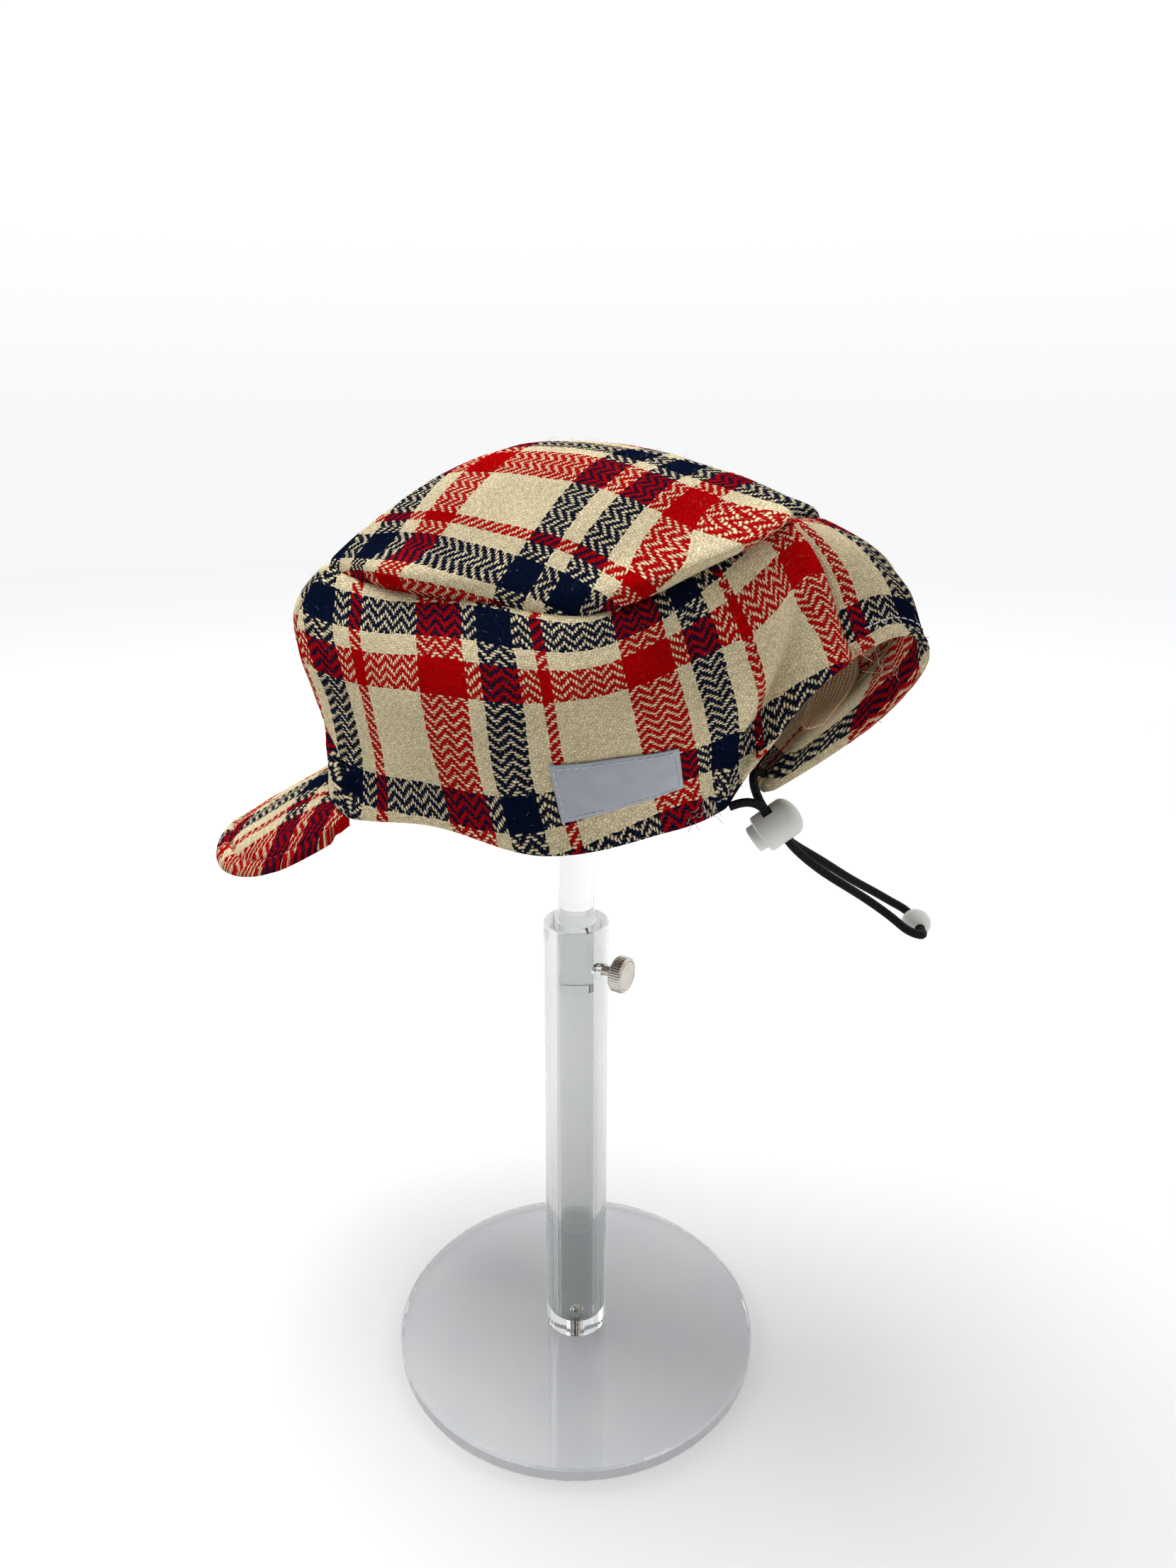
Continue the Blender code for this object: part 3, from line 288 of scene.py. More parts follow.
# Where the plaid lies on the panels: millimetres of cloth, front to back and hem to ridge
LEFT_LENGTHWISE = (
    (-13.7, -16.5, -20.4, -20.2, -12.1, -0.3),
    (-2.8, -4.0, -10.9, -10.9, 5.1, 23.6),
    (8.6, 4.7, -0.4, 2.8, 23.5, 47.1),
    (32.6, 35.3, 39.9, 41.3, 52.5, 70.1),
    (66.4, 70.0, 68.4, 64.3, 74.9, 91.1),
    (98.7, 102.1, 97.9, 90.8, 100.1, 111.5),
    (124.9, 127.3, 133.5, 141.3, 136.7, 134.1),
    (150.7, 143.2, 151.1, 172.9, 171.7, 162.2),
    (189.8, 188.2, 188.1, 187.1, 188.6, 186.0),
    (233.1, 230.3, 222.1, 209.0, 204.6, 204.7),
)
LEFT_CROSSWISE = (
    (110.8, 84.2, 55.6, 24.3, -8.6, -41.6),
    (103.7, 81.0, 55.5, 25.4, -6.5, -38.4),
    (96.6, 77.0, 54.7, 26.0, -3.0, -34.5),
    (92.6, 72.3, 51.2, 25.0, -0.2, -31.4),
    (95.5, 77.2, 55.6, 27.3, -0.3, -31.9),
    (99.2, 84.9, 64.7, 30.0, -4.4, -35.2),
    (96.7, 85.9, 73.5, 44.2, 5.0, -32.1),
    (87.2, 71.6, 56.9, 37.9, 13.9, -20.3),
    (75.4, 58.1, 40.8, 24.3, 8.5, -12.4),
    (62.8, 46.6, 31.9, 19.3, 6.4, -7.3),
)
TOP_LENGTHWISE = (
    (232.0, 215.8, 197.3, 175.6, 151.3, 126.3, 101.7, 78.0),
    (174.8, 167.1, 157.8, 144.7, 126.5, 105.6, 85.8, 67.4),
    (115.8, 116.5, 117.0, 114.2, 103.0, 85.6, 71.0, 58.6),
    (54.3, 61.7, 70.6, 80.3, 81.5, 70.6, 60.6, 52.4),
    (-8.9, 1.8, 14.0, 30.1, 48.2, 54.0, 49.9, 46.2),
    (-73.2, -61.4, -49.0, -35.0, -14.9, 8.3, 23.8, 35.3),
    (-138.1, -126.0, -113.0, -96.8, -73.0, -41.1, -9.1, 19.4),
)
TOP_CROSSWISE = (
    (-109.1, -72.3, -34.5, 5.3, 46.8, 89.9, 133.8, 178.2),
    (-96.5, -63.2, -29.2, 7.3, 47.6, 91.4, 137.4, 184.3),
    (-83.4, -53.3, -23.3, 8.9, 47.7, 92.3, 141.0, 191.1),
    (-69.9, -41.6, -14.6, 12.7, 48.8, 91.9, 145.2, 198.7),
    (-56.8, -27.8, 0.0, 27.8, 57.1, 90.5, 151.0, 206.1),
    (-44.3, -14.5, 15.5, 49.7, 77.8, 104.9, 158.8, 210.9),
    (-31.8, -0.2, 32.3, 65.9, 95.9, 126.7, 168.4, 214.5),
)
# The top's table covers this rectangle, seen from above
TOP_CORNER = np.array([-0.066, -0.094])
TOP_SIZE = np.array([0.132, 0.176])
RIGHT_HEM_PLACE = 0.0755
FRONT_RIDGE_PLACE = -0.004
FRONT_START = 0.012


# ---------------------------------------------------------------- curves and surfaces
def unit(vector):
    return vector / np.linalg.norm(vector)


def units(rows):
    return rows / np.linalg.norm(rows, axis=-1, keepdims=True)


def running(points, axis=0):
    """The length run along rows of places, starting from 0."""
    steps = np.linalg.norm(np.diff(points, axis=axis), axis=-1)
    start = np.zeros_like(np.take(steps, [0], axis=axis))
    return np.concatenate([start, np.cumsum(steps, axis=axis)], axis=axis)


class Curve:
    """A natural cubic spline through the rows, with the running length as its knots."""

    def __init__(self, rows):
        self.points = np.array(rows, float)
        self.knots = running(self.points)
        count = len(self.points)
        system = np.eye(count)
        right = np.zeros_like(self.points)
        for n in range(1, count - 1):
            before = self.knots[n] - self.knots[n - 1]
            after = self.knots[n + 1] - self.knots[n]
            system[n, n - 1 : n + 2] = before, 2 * (before + after), after
            rise = (self.points[n + 1] - self.points[n]) / after
            run_in = (self.points[n] - self.points[n - 1]) / before
            right[n] = 6 * (rise - run_in)
        self.bend = np.linalg.solve(system, right)

    def at(self, place):
        n = int(np.clip(np.searchsorted(self.knots, place) - 1, 0, len(self.knots) - 2))
        span = self.knots[n + 1] - self.knots[n]
        b = (place - self.knots[n]) / span
        a = 1 - b
        bent = (a**3 - a) * self.bend[n] + (b**3 - b) * self.bend[n + 1]
        return a * self.points[n] + b * self.points[n + 1] + bent * span**2 / 6

    def direction(self, place):
        step = self.knots[-1] * 1e-4
        ahead = self.at(min(place + step, self.knots[-1]))
        behind = self.at(max(place - step, 0.0))
        return unit(ahead - behind)


def cap_points(rows):
    """Turns shares into places."""
    sizes = np.array([RIM_HALF_WIDTH, CROWN_REACH, SIDE_HEIGHT])
    return np.array(rows) * sizes + np.array([0, 0, RIM_HEIGHT])


RIDGE_BACK = Curve(cap_points(RIDGE_BACK_ROWS))
RIDGE_FRONT = Curve(cap_points(RIDGE_FRONT_ROWS))
HEM_RIM = Curve(cap_points(HEM_RIM_ROWS))
HEM_ARCH = Curve(cap_points(HEM_ARCH_ROWS))


def table(rows, place):
    """Reads a table of (place, value) rows."""
    columns = np.array(rows)
    return float(np.interp(place, columns[:, 0], columns[:, 1]))


def between(curve, row_a, row_b, share):
    """The place on a curve's running length, for a share of the way from one row to another."""
    start, end = curve.knots[row_a], curve.knots[row_b]
    return start + (end - start) * share


def smoothstep(low, high, value):
    x = min(max((value - low) / (high - low), 0.0), 1.0)
    return x * x * (3 - 2 * x)


def ridge_place(side, along):
    last = len(RIDGE_BACK_ROWS) - 1
    if side == "left":
        return between(RIDGE_BACK, 0, RIDGE_TIP_ROW, along)
    return between(RIDGE_BACK, last, RIDGE_TIP_ROW, along)


def hem_point(side, along):
    """The side panel's lower edge: the rim up to the cinch, then the arch up to the notch."""
    last_rim = len(HEM_RIM_ROWS) - 1
    last_arch = len(HEM_ARCH_ROWS) - 1
    if along <= CINCH_ALONG:
        share = along / CINCH_ALONG
        if side == "left":
            return HEM_RIM.at(between(HEM_RIM, HEM_LEFT_SEAM_ROW, 0, share))
        return HEM_RIM.at(between(HEM_RIM, HEM_RIGHT_SEAM_ROW, last_rim, share))
    share = (along - CINCH_ALONG) / (1 - CINCH_ALONG)
    if side == "left":
        return HEM_ARCH.at(between(HEM_ARCH, 0, NOTCH_ROW, share))
    return HEM_ARCH.at(between(HEM_ARCH, last_arch, NOTCH_ROW, share))


def level(vector):
    """The horizontal unit vector square to a run along the ridge."""
    return unit(np.array([vector[1], -vector[0], 0.0]))


def ridge_normal(side, along):
    found = level(RIDGE_BACK.direction(ridge_place(side, along)))
    here = RIDGE_BACK.at(ridge_place(side, along))
    return found if found @ (here * (1, 1, 0)) > 0 else -found


def front_normal(share):
    place = between(RIDGE_FRONT, 0, len(RIDGE_FRONT_ROWS) - 1, share)
    found = level(RIDGE_FRONT.direction(place))
    return found if found[1] < 0 else -found


def seam_normal(side):
    """Both panels bulge the same way where they meet at a front seam."""
    front = front_normal(1.0 if side == "left" else 0.0)
    return unit(ridge_normal(side, 0.0) + front)


def fold(rows, along, up, length):
    """Inward depth of all folds at one place on a side panel."""
    here = np.array([along * length, up * SIDE_HEIGHT])
    depth = 0.0
    for along_a, up_a, along_b, up_b, width, deep in rows:
        start = np.array([along_a * length, up_a * SIDE_HEIGHT])
        run = np.array([along_b * length, up_b * SIDE_HEIGHT]) - start
        share = np.clip((here - start) @ run / (run @ run), 0, 1)
        apart = np.linalg.norm(here - start - share * run)
        depth += deep * SIDE_HEIGHT * math.exp(-((apart / (width * SIDE_HEIGHT)) ** 2))
    return depth


def belly_shape(rows, along, up):
    return math.sin(math.pi * up ** table(rows, along))


def side_column(side, along, ups):
    """Places up one line of a side panel, from the hem to the ridge."""
    left = side == "left"
    top = RIDGE_BACK.at(ridge_place(side, along))
    bottom = hem_point(side, along)
    mix = smoothstep(0.0, 0.22, along)
    normal = unit((1 - mix) * seam_normal(side) + mix * ridge_normal(side, along))
    belly = table(LEFT_BELLY_ROWS if left else RIGHT_BELLY_ROWS, along) * SIDE_HEIGHT
    skews = LEFT_SKEW_ROWS if left else RIGHT_SKEW_ROWS
    folds = LEFT_FOLD_ROWS if left else RIGHT_FOLD_ROWS
    length = abs(ridge_place(side, 1.0) - ridge_place(side, 0.0))
    fade = smoothstep(0.0, 0.05, along) * smoothstep(0.0, 0.05, 1 - along)
    column = []
    for up in ups:
        bulge = belly * belly_shape(skews, along, up)
        dent = fade * fold(folds, along, up, length) * min(1.0, 8 * (1 - up))
        column.append(bottom + (top - bottom) * up + normal * (bulge - dent))
    return column


def front_point(share, up):
    """Outer face of the front panel: share from the right front seam to the left one."""
    top = RIDGE_FRONT.at(between(RIDGE_FRONT, 0, len(RIDGE_FRONT_ROWS) - 1, share))
    bottom = HEM_RIM.at(between(HEM_RIM, HEM_RIGHT_SEAM_ROW, HEM_LEFT_SEAM_ROW, share))
    right = smoothstep(0.0, 0.4, 1 - 2 * share)
    left = smoothstep(0.0, 0.4, 2 * share - 1)
    normal = front_normal(share) * (1 - right - left)
    normal = unit(normal + seam_normal("right") * right + seam_normal("left") * left)
    bulge = table(FRONT_BELLY_ROWS, share) * SIDE_HEIGHT
    return bottom + (top - bottom) * up + normal * bulge * belly_shape(LEFT_SKEW_ROWS, 0, up)


def panel_steps():
    """Places along a side panel: its cells at the rim, then the finer ones at the arch."""
    rim = np.linspace(0, CINCH_ALONG, RIM_CELLS + 1)
    arch = np.linspace(CINCH_ALONG, 1, ARCH_CELLS + 1)
    return np.concatenate([rim, arch[1:]])


STEPS = panel_steps()
UPS = np.linspace(0, 1, BAND_RINGS)
SHARES = np.linspace(0, 1, FRONT_CELLS + 1)


def side_grid(side):
    return np.array([side_column(side, a, UPS) for a in STEPS]).transpose(1, 0, 2)


def front_grid():
    return np.array([[front_point(s, u) for s in SHARES] for u in UPS])


def ridge_loop():
    """The whole ridge seam with how far the top rolls over it: left, back tip, right, front."""
    loop = [(RIDGE_BACK.at(ridge_place("left", a)), table(LEFT_ROLL_ROWS, a)) for a in STEPS]
    right = [(RIDGE_BACK.at(ridge_place("right", a)), table(RIGHT_ROLL_ROWS, a)) for a in STEPS]
    loop += right[-2::-1]
    ends = len(RIDGE_FRONT_ROWS) - 1
    front_roll = LEFT_ROLL_ROWS[0][1]
    for s in SHARES[1:-1]:
        loop.append((RIDGE_FRONT.at(between(RIDGE_FRONT, 0, ends, s)), front_roll))
    return loop


LOOP = ridge_loop()
LOOP_POINTS = np.array([point for point, _ in LOOP])
LOOP_ROLLS = np.array([roll for _, roll in LOOP])
DOME_CENTRE = np.array([0.0, -0.06 * CROWN_REACH, CROWN_TOP])


def top_grid():
    """Rings of places from the ridge in to the dome's middle."""
    flat = (LOOP_POINTS - DOME_CENTRE) * (1, 1, 0)
    outward = units(flat)
    headings = np.arctan2(flat[:, 1], flat[:, 0]) / math.pi
    powers = np.array([table(DOME_ROWS, h) for h in headings])
    low = LOOP_POINTS[:, 2]
    rings = []
    for ring in TOP_RINGS:
        rise = (CROWN_TOP - low) * (1 - ring**powers)
        swell = LOOP_ROLLS * SIDE_HEIGHT * math.exp(-(((ring - ROLL_PLACE) / ROLL_WIDTH) ** 2))
        swell = swell if ring < 1 else swell * 0
        spot = DOME_CENTRE * (1, 1, 0) + flat * ring + outward * swell[:, None]
        spot[:, 2] = low + rise
        rings.append(spot)
    return np.array(rings)


def grid_normals(grid, closed):
    """Unit normals of a grid of points, from its neighbours on each side."""
    if closed:
        across = np.roll(grid, -1, axis=1) - np.roll(grid, 1, axis=1)
    else:
        across = np.gradient(grid, axis=1)
    upward = np.gradient(grid, axis=0)
    normals = np.cross(across, upward)
    return normals / np.maximum(np.linalg.norm(normals, axis=2, keepdims=True), 1e-12)


def key(point):
    """The same for all points that lie within a micrometre."""
    return tuple(int(round(value)) for value in np.array(point) * 1e6)


class Crown:
    """The crown's panels share their seams, so their normals are averaged there."""

    def __init__(self):
        self.grids = {
            "left": side_grid("left"),
            "right": side_grid("right"),
            "front": front_grid(),
            "top": top_grid(),
        }
        self.normals = {}
        sums = {}
        inside = np.array([0, 0, RIM_HEIGHT + 0.6 * SIDE_HEIGHT])
        for name, grid in self.grids.items():
            normals = grid_normals(grid, closed=name == "top")
            spot = len(grid) // 2, grid.shape[1] // 2
            facing = normals[spot] @ (grid[spot] - inside)
            self.normals[name] = normals if facing > 0 else -normals
        for name, grid in self.grids.items():
            for spot in self.border(name):
                place = key(grid[spot])
                sums[place] = sums.get(place, 0) + self.normals[name][spot]
        for name, grid in self.grids.items():
            for spot in self.border(name):
                self.normals[name][spot] = unit(sums[key(grid[spot])])

    def border(self, name):
        rows, columns = self.grids[name].shape[:2]
        if name == "top":
            return [(0, c) for c in range(columns)]
        sides = [(r, c) for r in range(rows) for c in (0, columns - 1)]
        return sides + [(r, c) for r in (0, rows - 1) for c in range(1, columns - 1)]

    def seam_distance(self, name):
        """How far each place lies from the panel's nearest seam, along the cloth."""
        up = running(self.grids[name])
        if name == "top":
            return up
        run = running(self.grids[name], axis=1)
        return np.minimum(up[-1] - up, np.minimum(run, run[:, -1:] - run))


def drawn_in(distance):
    """How deep the cloth sinks towards a seam at this distance from it."""
    return SEAM_DIP * np.exp(-((distance / SEAM_REACH) ** 2))


def rumple(point):
    """Soft unevenness of worn cloth, in metres along the normal."""
    spot = Vector(point)
    return sum(noise.noise(spot * close + Vector(off)) * high for close, high, off in RUMPLES)


def cell_mesh(name, points, faces, places=None):
    """A mesh object with its fabric coordinates, in metres of cloth, one pair for each point."""
    mesh = bpy.data.meshes.new(name)
    mesh.from_pydata([tuple(p) for p in points], [], faces)
    mesh.validate()
    if places is not None:
        layer = mesh.uv_layers.new(name="fabric")
        corners = np.zeros(len(mesh.loops), np.int32)
        mesh.loops.foreach_get("vertex_index", corners)
        layer.data.foreach_set("uv", np.array(places, np.float32)[corners].ravel())
    work = bmesh.new()
    work.from_mesh(mesh)
    bmesh.ops.recalc_face_normals(work, faces=work.faces)
    work.to_mesh(mesh)
    work.free()
    mesh.shade_smooth()
    made = bpy.data.objects.new(name, mesh)
    bpy.context.scene.collection.objects.link(made)
    return made


def grid_faces(rows, columns, closed=False, base=0):
    """Four-sided faces over rows of points; closed joins each row round."""
    faces = []
    for r in range(rows - 1):
        for c in range(columns if closed else columns - 1):
            a, b = base + r * columns + c, base + r * columns + (c + 1) % columns
            faces.append((a, b, b + columns, a + columns))
    return faces


def lofted(name, rings, places=None, closed=False, ends=("open", "open")):
    """A skin over rings of points; closed joins each ring round, ends are open or capped."""
    rings = np.array(rings)
    rows, columns = rings.shape[:2]
    faces = grid_faces(rows, columns, closed)
    if ends[0] == "capped":
        faces.append(tuple(range(columns))[::-1])
    if ends[1] == "capped":
        faces.append(tuple((rows - 1) * columns + c for c in range(columns)))
    flat = None if places is None else np.array(places).reshape(-1, 2)
    return cell_mesh(name, rings.reshape(-1, 3), faces, flat)


def finished(made, finish, slot_name, *nodes):
    """Gives a piece its finish, lets it ride with the cap and stand for its CAD nodes."""
    made.data.materials.clear()
    made.data.materials.append(finish)
    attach(made, CAP if "cord_lock_plunger" not in nodes else "lock_plunger")
    if nodes:
        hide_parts(*nodes)
    return made


CROWN = Crown()


def skins_of(name):
    """(outer, inner) skins of a panel, with its seams drawn in and its hem turned up thick."""
    normals = CROWN.normals[name]
    grid = CROWN.grids[name]
    sunk = drawn_in(CROWN.seam_distance(name))
    soft = np.array([[rumple(p) for p in row] for row in grid])
    outer = grid - normals * (sunk - soft)[..., None]
    wall = np.full(grid.shape[:2], CLOTH)
    if name != "top":
        wall += (HEM_FOLD - CLOTH) / (1 + np.exp((running(grid) - HEM_DEPTH) / HEM_STEP))
    return outer, outer - normals * wall[..., None]


SKINS = {name: skins_of(name) for name in ("left", "right", "front", "top")}


def arc_share(grid):
    """For each place of a side or front panel, the share of cloth from the ridge down to it."""
    up = running(grid)
    return 1 - up / up[-1], up[-1]


def spline_weights(place, count):
    """How much each of a run of evenly spaced values counts at a place from 0 to 1."""
    x = np.clip(place, 0, 1) * (count - 3)
    first = np.minimum(x.astype(int), count - 4)
    t = x - first
    near = ((1 - t) ** 3, 3 * t**3 - 6 * t**2 + 4, -3 * t**3 + 3 * t**2 + 3 * t + 1, t**3)
    found = np.zeros(place.shape + (count,))
    for n, share in enumerate(near):
        np.put_along_axis(found, (first + n)[..., None], share[..., None] / 6, -1)
    return found


def spread(rows, across, along):
    """A smooth surface through a small table of millimetres; both places run from 0 to 1."""
    held = np.array(rows) / 1000
    first = spline_weights(across, held.shape[0])
    second = spline_weights(along, held.shape[1])
    return np.einsum("...i,...j,ij->...", first, second, held)


def fabric_places(name):
    """Where each place of a panel lies on the cloth before it was cut, in metres."""
    grid = CROWN.grids[name]
    if name == "top":
        flat = (LOOP_POINTS - DOME_CENTRE)[None, :, :2] * TOP_RINGS[:, None, None]
        share = (flat + DOME_CENTRE[:2] - TOP_CORNER) / TOP_SIZE
        across, along = share[..., 0], share[..., 1]
        places = spread(TOP_LENGTHWISE, across, along), spread(TOP_CROSSWISE, across, along)
        return np.stack(places, axis=-1)
    if name == "left":
        along, up = np.meshgrid(STEPS, UPS)
        places = spread(LEFT_LENGTHWISE, along, up), spread(LEFT_CROSSWISE, along, up)
        return np.stack(places, axis=-1)
    run = running(grid[len(grid) // 2])
    down, height = arc_share(grid)
    if name == "right":
        back = np.broadcast_to(run[-1] - run, down.shape)
        return np.stack([back, RIGHT_HEM_PLACE - (1 - down) * height], axis=-1)
    across = np.broadcast_to(run + FRONT_START, down.shape)
    return np.stack([across, FRONT_RIDGE_PLACE + down * height], axis=-1)


FABRIC = {name: fabric_places(name) for name in ("left", "right", "front", "top")}
CURL_ANGLES = np.radians([36, 72, 108, 144])


def band_panel(name):
    """A side or front panel: outer skin, rounded hem and inner skin, closed at its seams."""
    outer, inner = SKINS[name]
    places = FABRIC[name]
    middle = (outer[0] + inner[0]) / 2
    half = (outer[0] - inner[0]) / 2
    down = units(outer[0] - outer[2])
    reach = np.linalg.norm(half, axis=1, keepdims=True)
    curl = [middle + half * math.cos(t) + down * reach * math.sin(t) for t in CURL_ANGLES]
    rings = np.concatenate([outer[::-1], np.array(curl), inner])
    steps = [places[0] + np.array([0, HEM_ROUND * (n + 1)]) for n in range(len(CURL_ANGLES))]
    spots = np.concatenate([places[::-1], np.array(steps), places])
    rows, columns = rings.shape[:2]
    faces = grid_faces(rows, columns)
    last = len(outer) - 1
    for c in (0, columns - 1):
        for r in range(last):
            a, b = r * columns + c, (r + 1) * columns + c
            e, f = (rows - 1 - r) * columns + c, (rows - 2 - r) * columns + c
            faces.append((a, b, f, e))
        faces.append(tuple((last + n) * columns + c for n in range(len(CURL_ANGLES) + 2)))
    for c in range(columns - 1):
        faces.append((c, c + 1, (rows - 1) * columns + c + 1, (rows - 1) * columns + c))
    made = cell_mesh("crown_%s" % name, rings.reshape(-1, 3), faces, spots.reshape(-1, 2))
    cloth = WOOL_RIGHT if name == "right" else WOOL
    return finished(made, cloth, "wool", "crown_%s_panel" % name)


def top_panel():
    """The domed top: an outer and an inner skin, each closed by a fan at the dome's middle."""
    outer, inner = SKINS["top"]
    places = FABRIC["top"]
    rows, columns = outer.shape[:2]
    count = rows * columns
    points = np.concatenate([outer.reshape(-1, 3), inner.reshape(-1, 3)])
    spots = np.concatenate([places.reshape(-1, 2)] * 2)
    heads = [outer[-1].mean(axis=0), inner[-1].mean(axis=0)]
    points = np.concatenate([points, heads])
    spots = np.concatenate([spots, [places[-1].mean(axis=0)] * 2])
    faces = []
    for c in range(columns):
        d = (c + 1) % columns
        for r in range(rows - 1):
            a, b = r * columns + c, r * columns + d
            faces.append((a, b, b + columns, a + columns))
            faces.append((a + count, a + columns + count, b + columns + count, b + count))
        last = (rows - 1) * columns
        faces.append((last + c, last + d, 2 * count))
        faces.append((last + d + count, last + c + count, 2 * count + 1))
        faces.append((d, c, c + count, d + count))
    made = cell_mesh("crown_top", points, faces, spots)
    return finished(made, WOOL, "wool", "crown_top_panel")


# ---------------------------------------------------------------- shader helpers
class Bench:
    """Adds nodes to one tree."""

    def __init__(self, tree):
        self.tree = tree

    def add(self, kind, **settings):
        made = self.tree.nodes.new(kind)
        for name, value in settings.items():
            setattr(made, name, value)
        return made

    def join(self, source, target):
        self.tree.links.new(source, target)

    def feed(self, socket, value):
        if isinstance(value, bpy.types.NodeSocket):
            self.join(value, socket)
        else:
            socket.default_value = value

    def fill(self, made, values):
        """Feeds a node's inputs in their order and gives its first output."""
        for socket, value in zip(made.inputs, values):
            self.feed(socket, value)
        return made.outputs[0]

    def math(self, operation, *values):
        return self.fill(self.add("ShaderNodeMath", operation=operation), values)

    def plus(self, first, second):
        return self.math("ADD", first, second)

    def minus(self, first, second):
        return self.math("SUBTRACT", first, second)

    def times(self, first, second):
        return self.math("MULTIPLY", first, second)

    def times_plus(self, first, second, third):
        return self.math("MULTIPLY_ADD", first, second, third)

    def over(self, first, second):
        return self.math("DIVIDE", first, second)

    def power(self, first, second):
        return self.math("POWER", first, second)

    def absolute(self, value):
        return self.math("ABSOLUTE", value)

    def zigzag(self, value, reach):
        """Runs up to the reach and back down, over and over."""
        return self.math("PINGPONG", value, reach)

    def wrapped(self, value, count):
        """What is left of a value past whole counts, so that it starts over at each."""
        return self.math("FLOORED_MODULO", value, count)

    def blend(self, share, first, second, kind="MIX"):
        made = self.add("ShaderNodeMix", data_type="RGBA", blend_type=kind)
        self.feed(made.inputs[0], share)
        self.feed(made.inputs[6], first)
        self.feed(made.inputs[7], second)
        return made.outputs[2]

    def between(self, share, first, second):
        made = self.add("ShaderNodeMix", data_type="FLOAT")
        self.feed(made.inputs[0], share)
        self.feed(made.inputs[2], first)
        self.feed(made.inputs[3], second)
        return made.outputs[0]

    def place(self, x, y, z=0.0):
        return self.fill(self.add("ShaderNodeCombineXYZ"), (x, y, z))

    def parts(self, vector):
        made = self.add("ShaderNodeSeparateXYZ")
        self.join(vector, made.inputs[0])
        return made.outputs[0], made.outputs[1], made.outputs[2]

    def noise(self, vector, scale, detail=2.0, rough=0.5):
        made = self.add("ShaderNodeTexNoise")
        self.join(vector, made.inputs["Vector"])
        self.feed(made.inputs["Scale"], scale)
        made.inputs["Detail"].default_value = detail
        made.inputs["Roughness"].default_value = rough
        return made.outputs["Fac"]

    def grey(self, colour):
        made = self.add("ShaderNodeRGBToBW")
        self.join(colour, made.inputs[0])
        return made.outputs[0]

    def ranged(self, value, low, high, to_low, to_high):
        """Carries a value from one range over to another and clamps it there."""
        return self.fill(self.add("ShaderNodeMapRange"), (value, low, high, to_low, to_high))


SOCKETS = {"value": "NodeSocketFloat", "vector": "NodeSocketVector", "colour": "NodeSocketColor"}


def shader_group(name, inputs, outputs):
    """A node group with named sockets; gives its bench, its input sockets and its output node."""
    tree = bpy.data.node_groups.new(name, "ShaderNodeTree")
    for label, kind, default in inputs:
        made = tree.interface.new_socket(name=label, in_out="INPUT", socket_type=SOCKETS[kind])
        if default is not None:
            made.default_value = default
    for label, kind in outputs:
        tree.interface.new_socket(name=label, in_out="OUTPUT", socket_type=SOCKETS[kind])
    bench = Bench(tree)
    return bench, bench.add("NodeGroupInput").outputs, bench.add("NodeGroupOutput").inputs


def use_group(bench, tree, **values):
    made = bench.add("ShaderNodeGroup", node_tree=tree)
    for label, value in values.items():
        bench.feed(made.inputs[label.replace("_", " ").capitalize()], value)
    return made.outputs


THREAD_PITCH = 0.00084
THREAD_WANDER = 0.0014  # how far a thread strays
WANDER_SCALE = 560


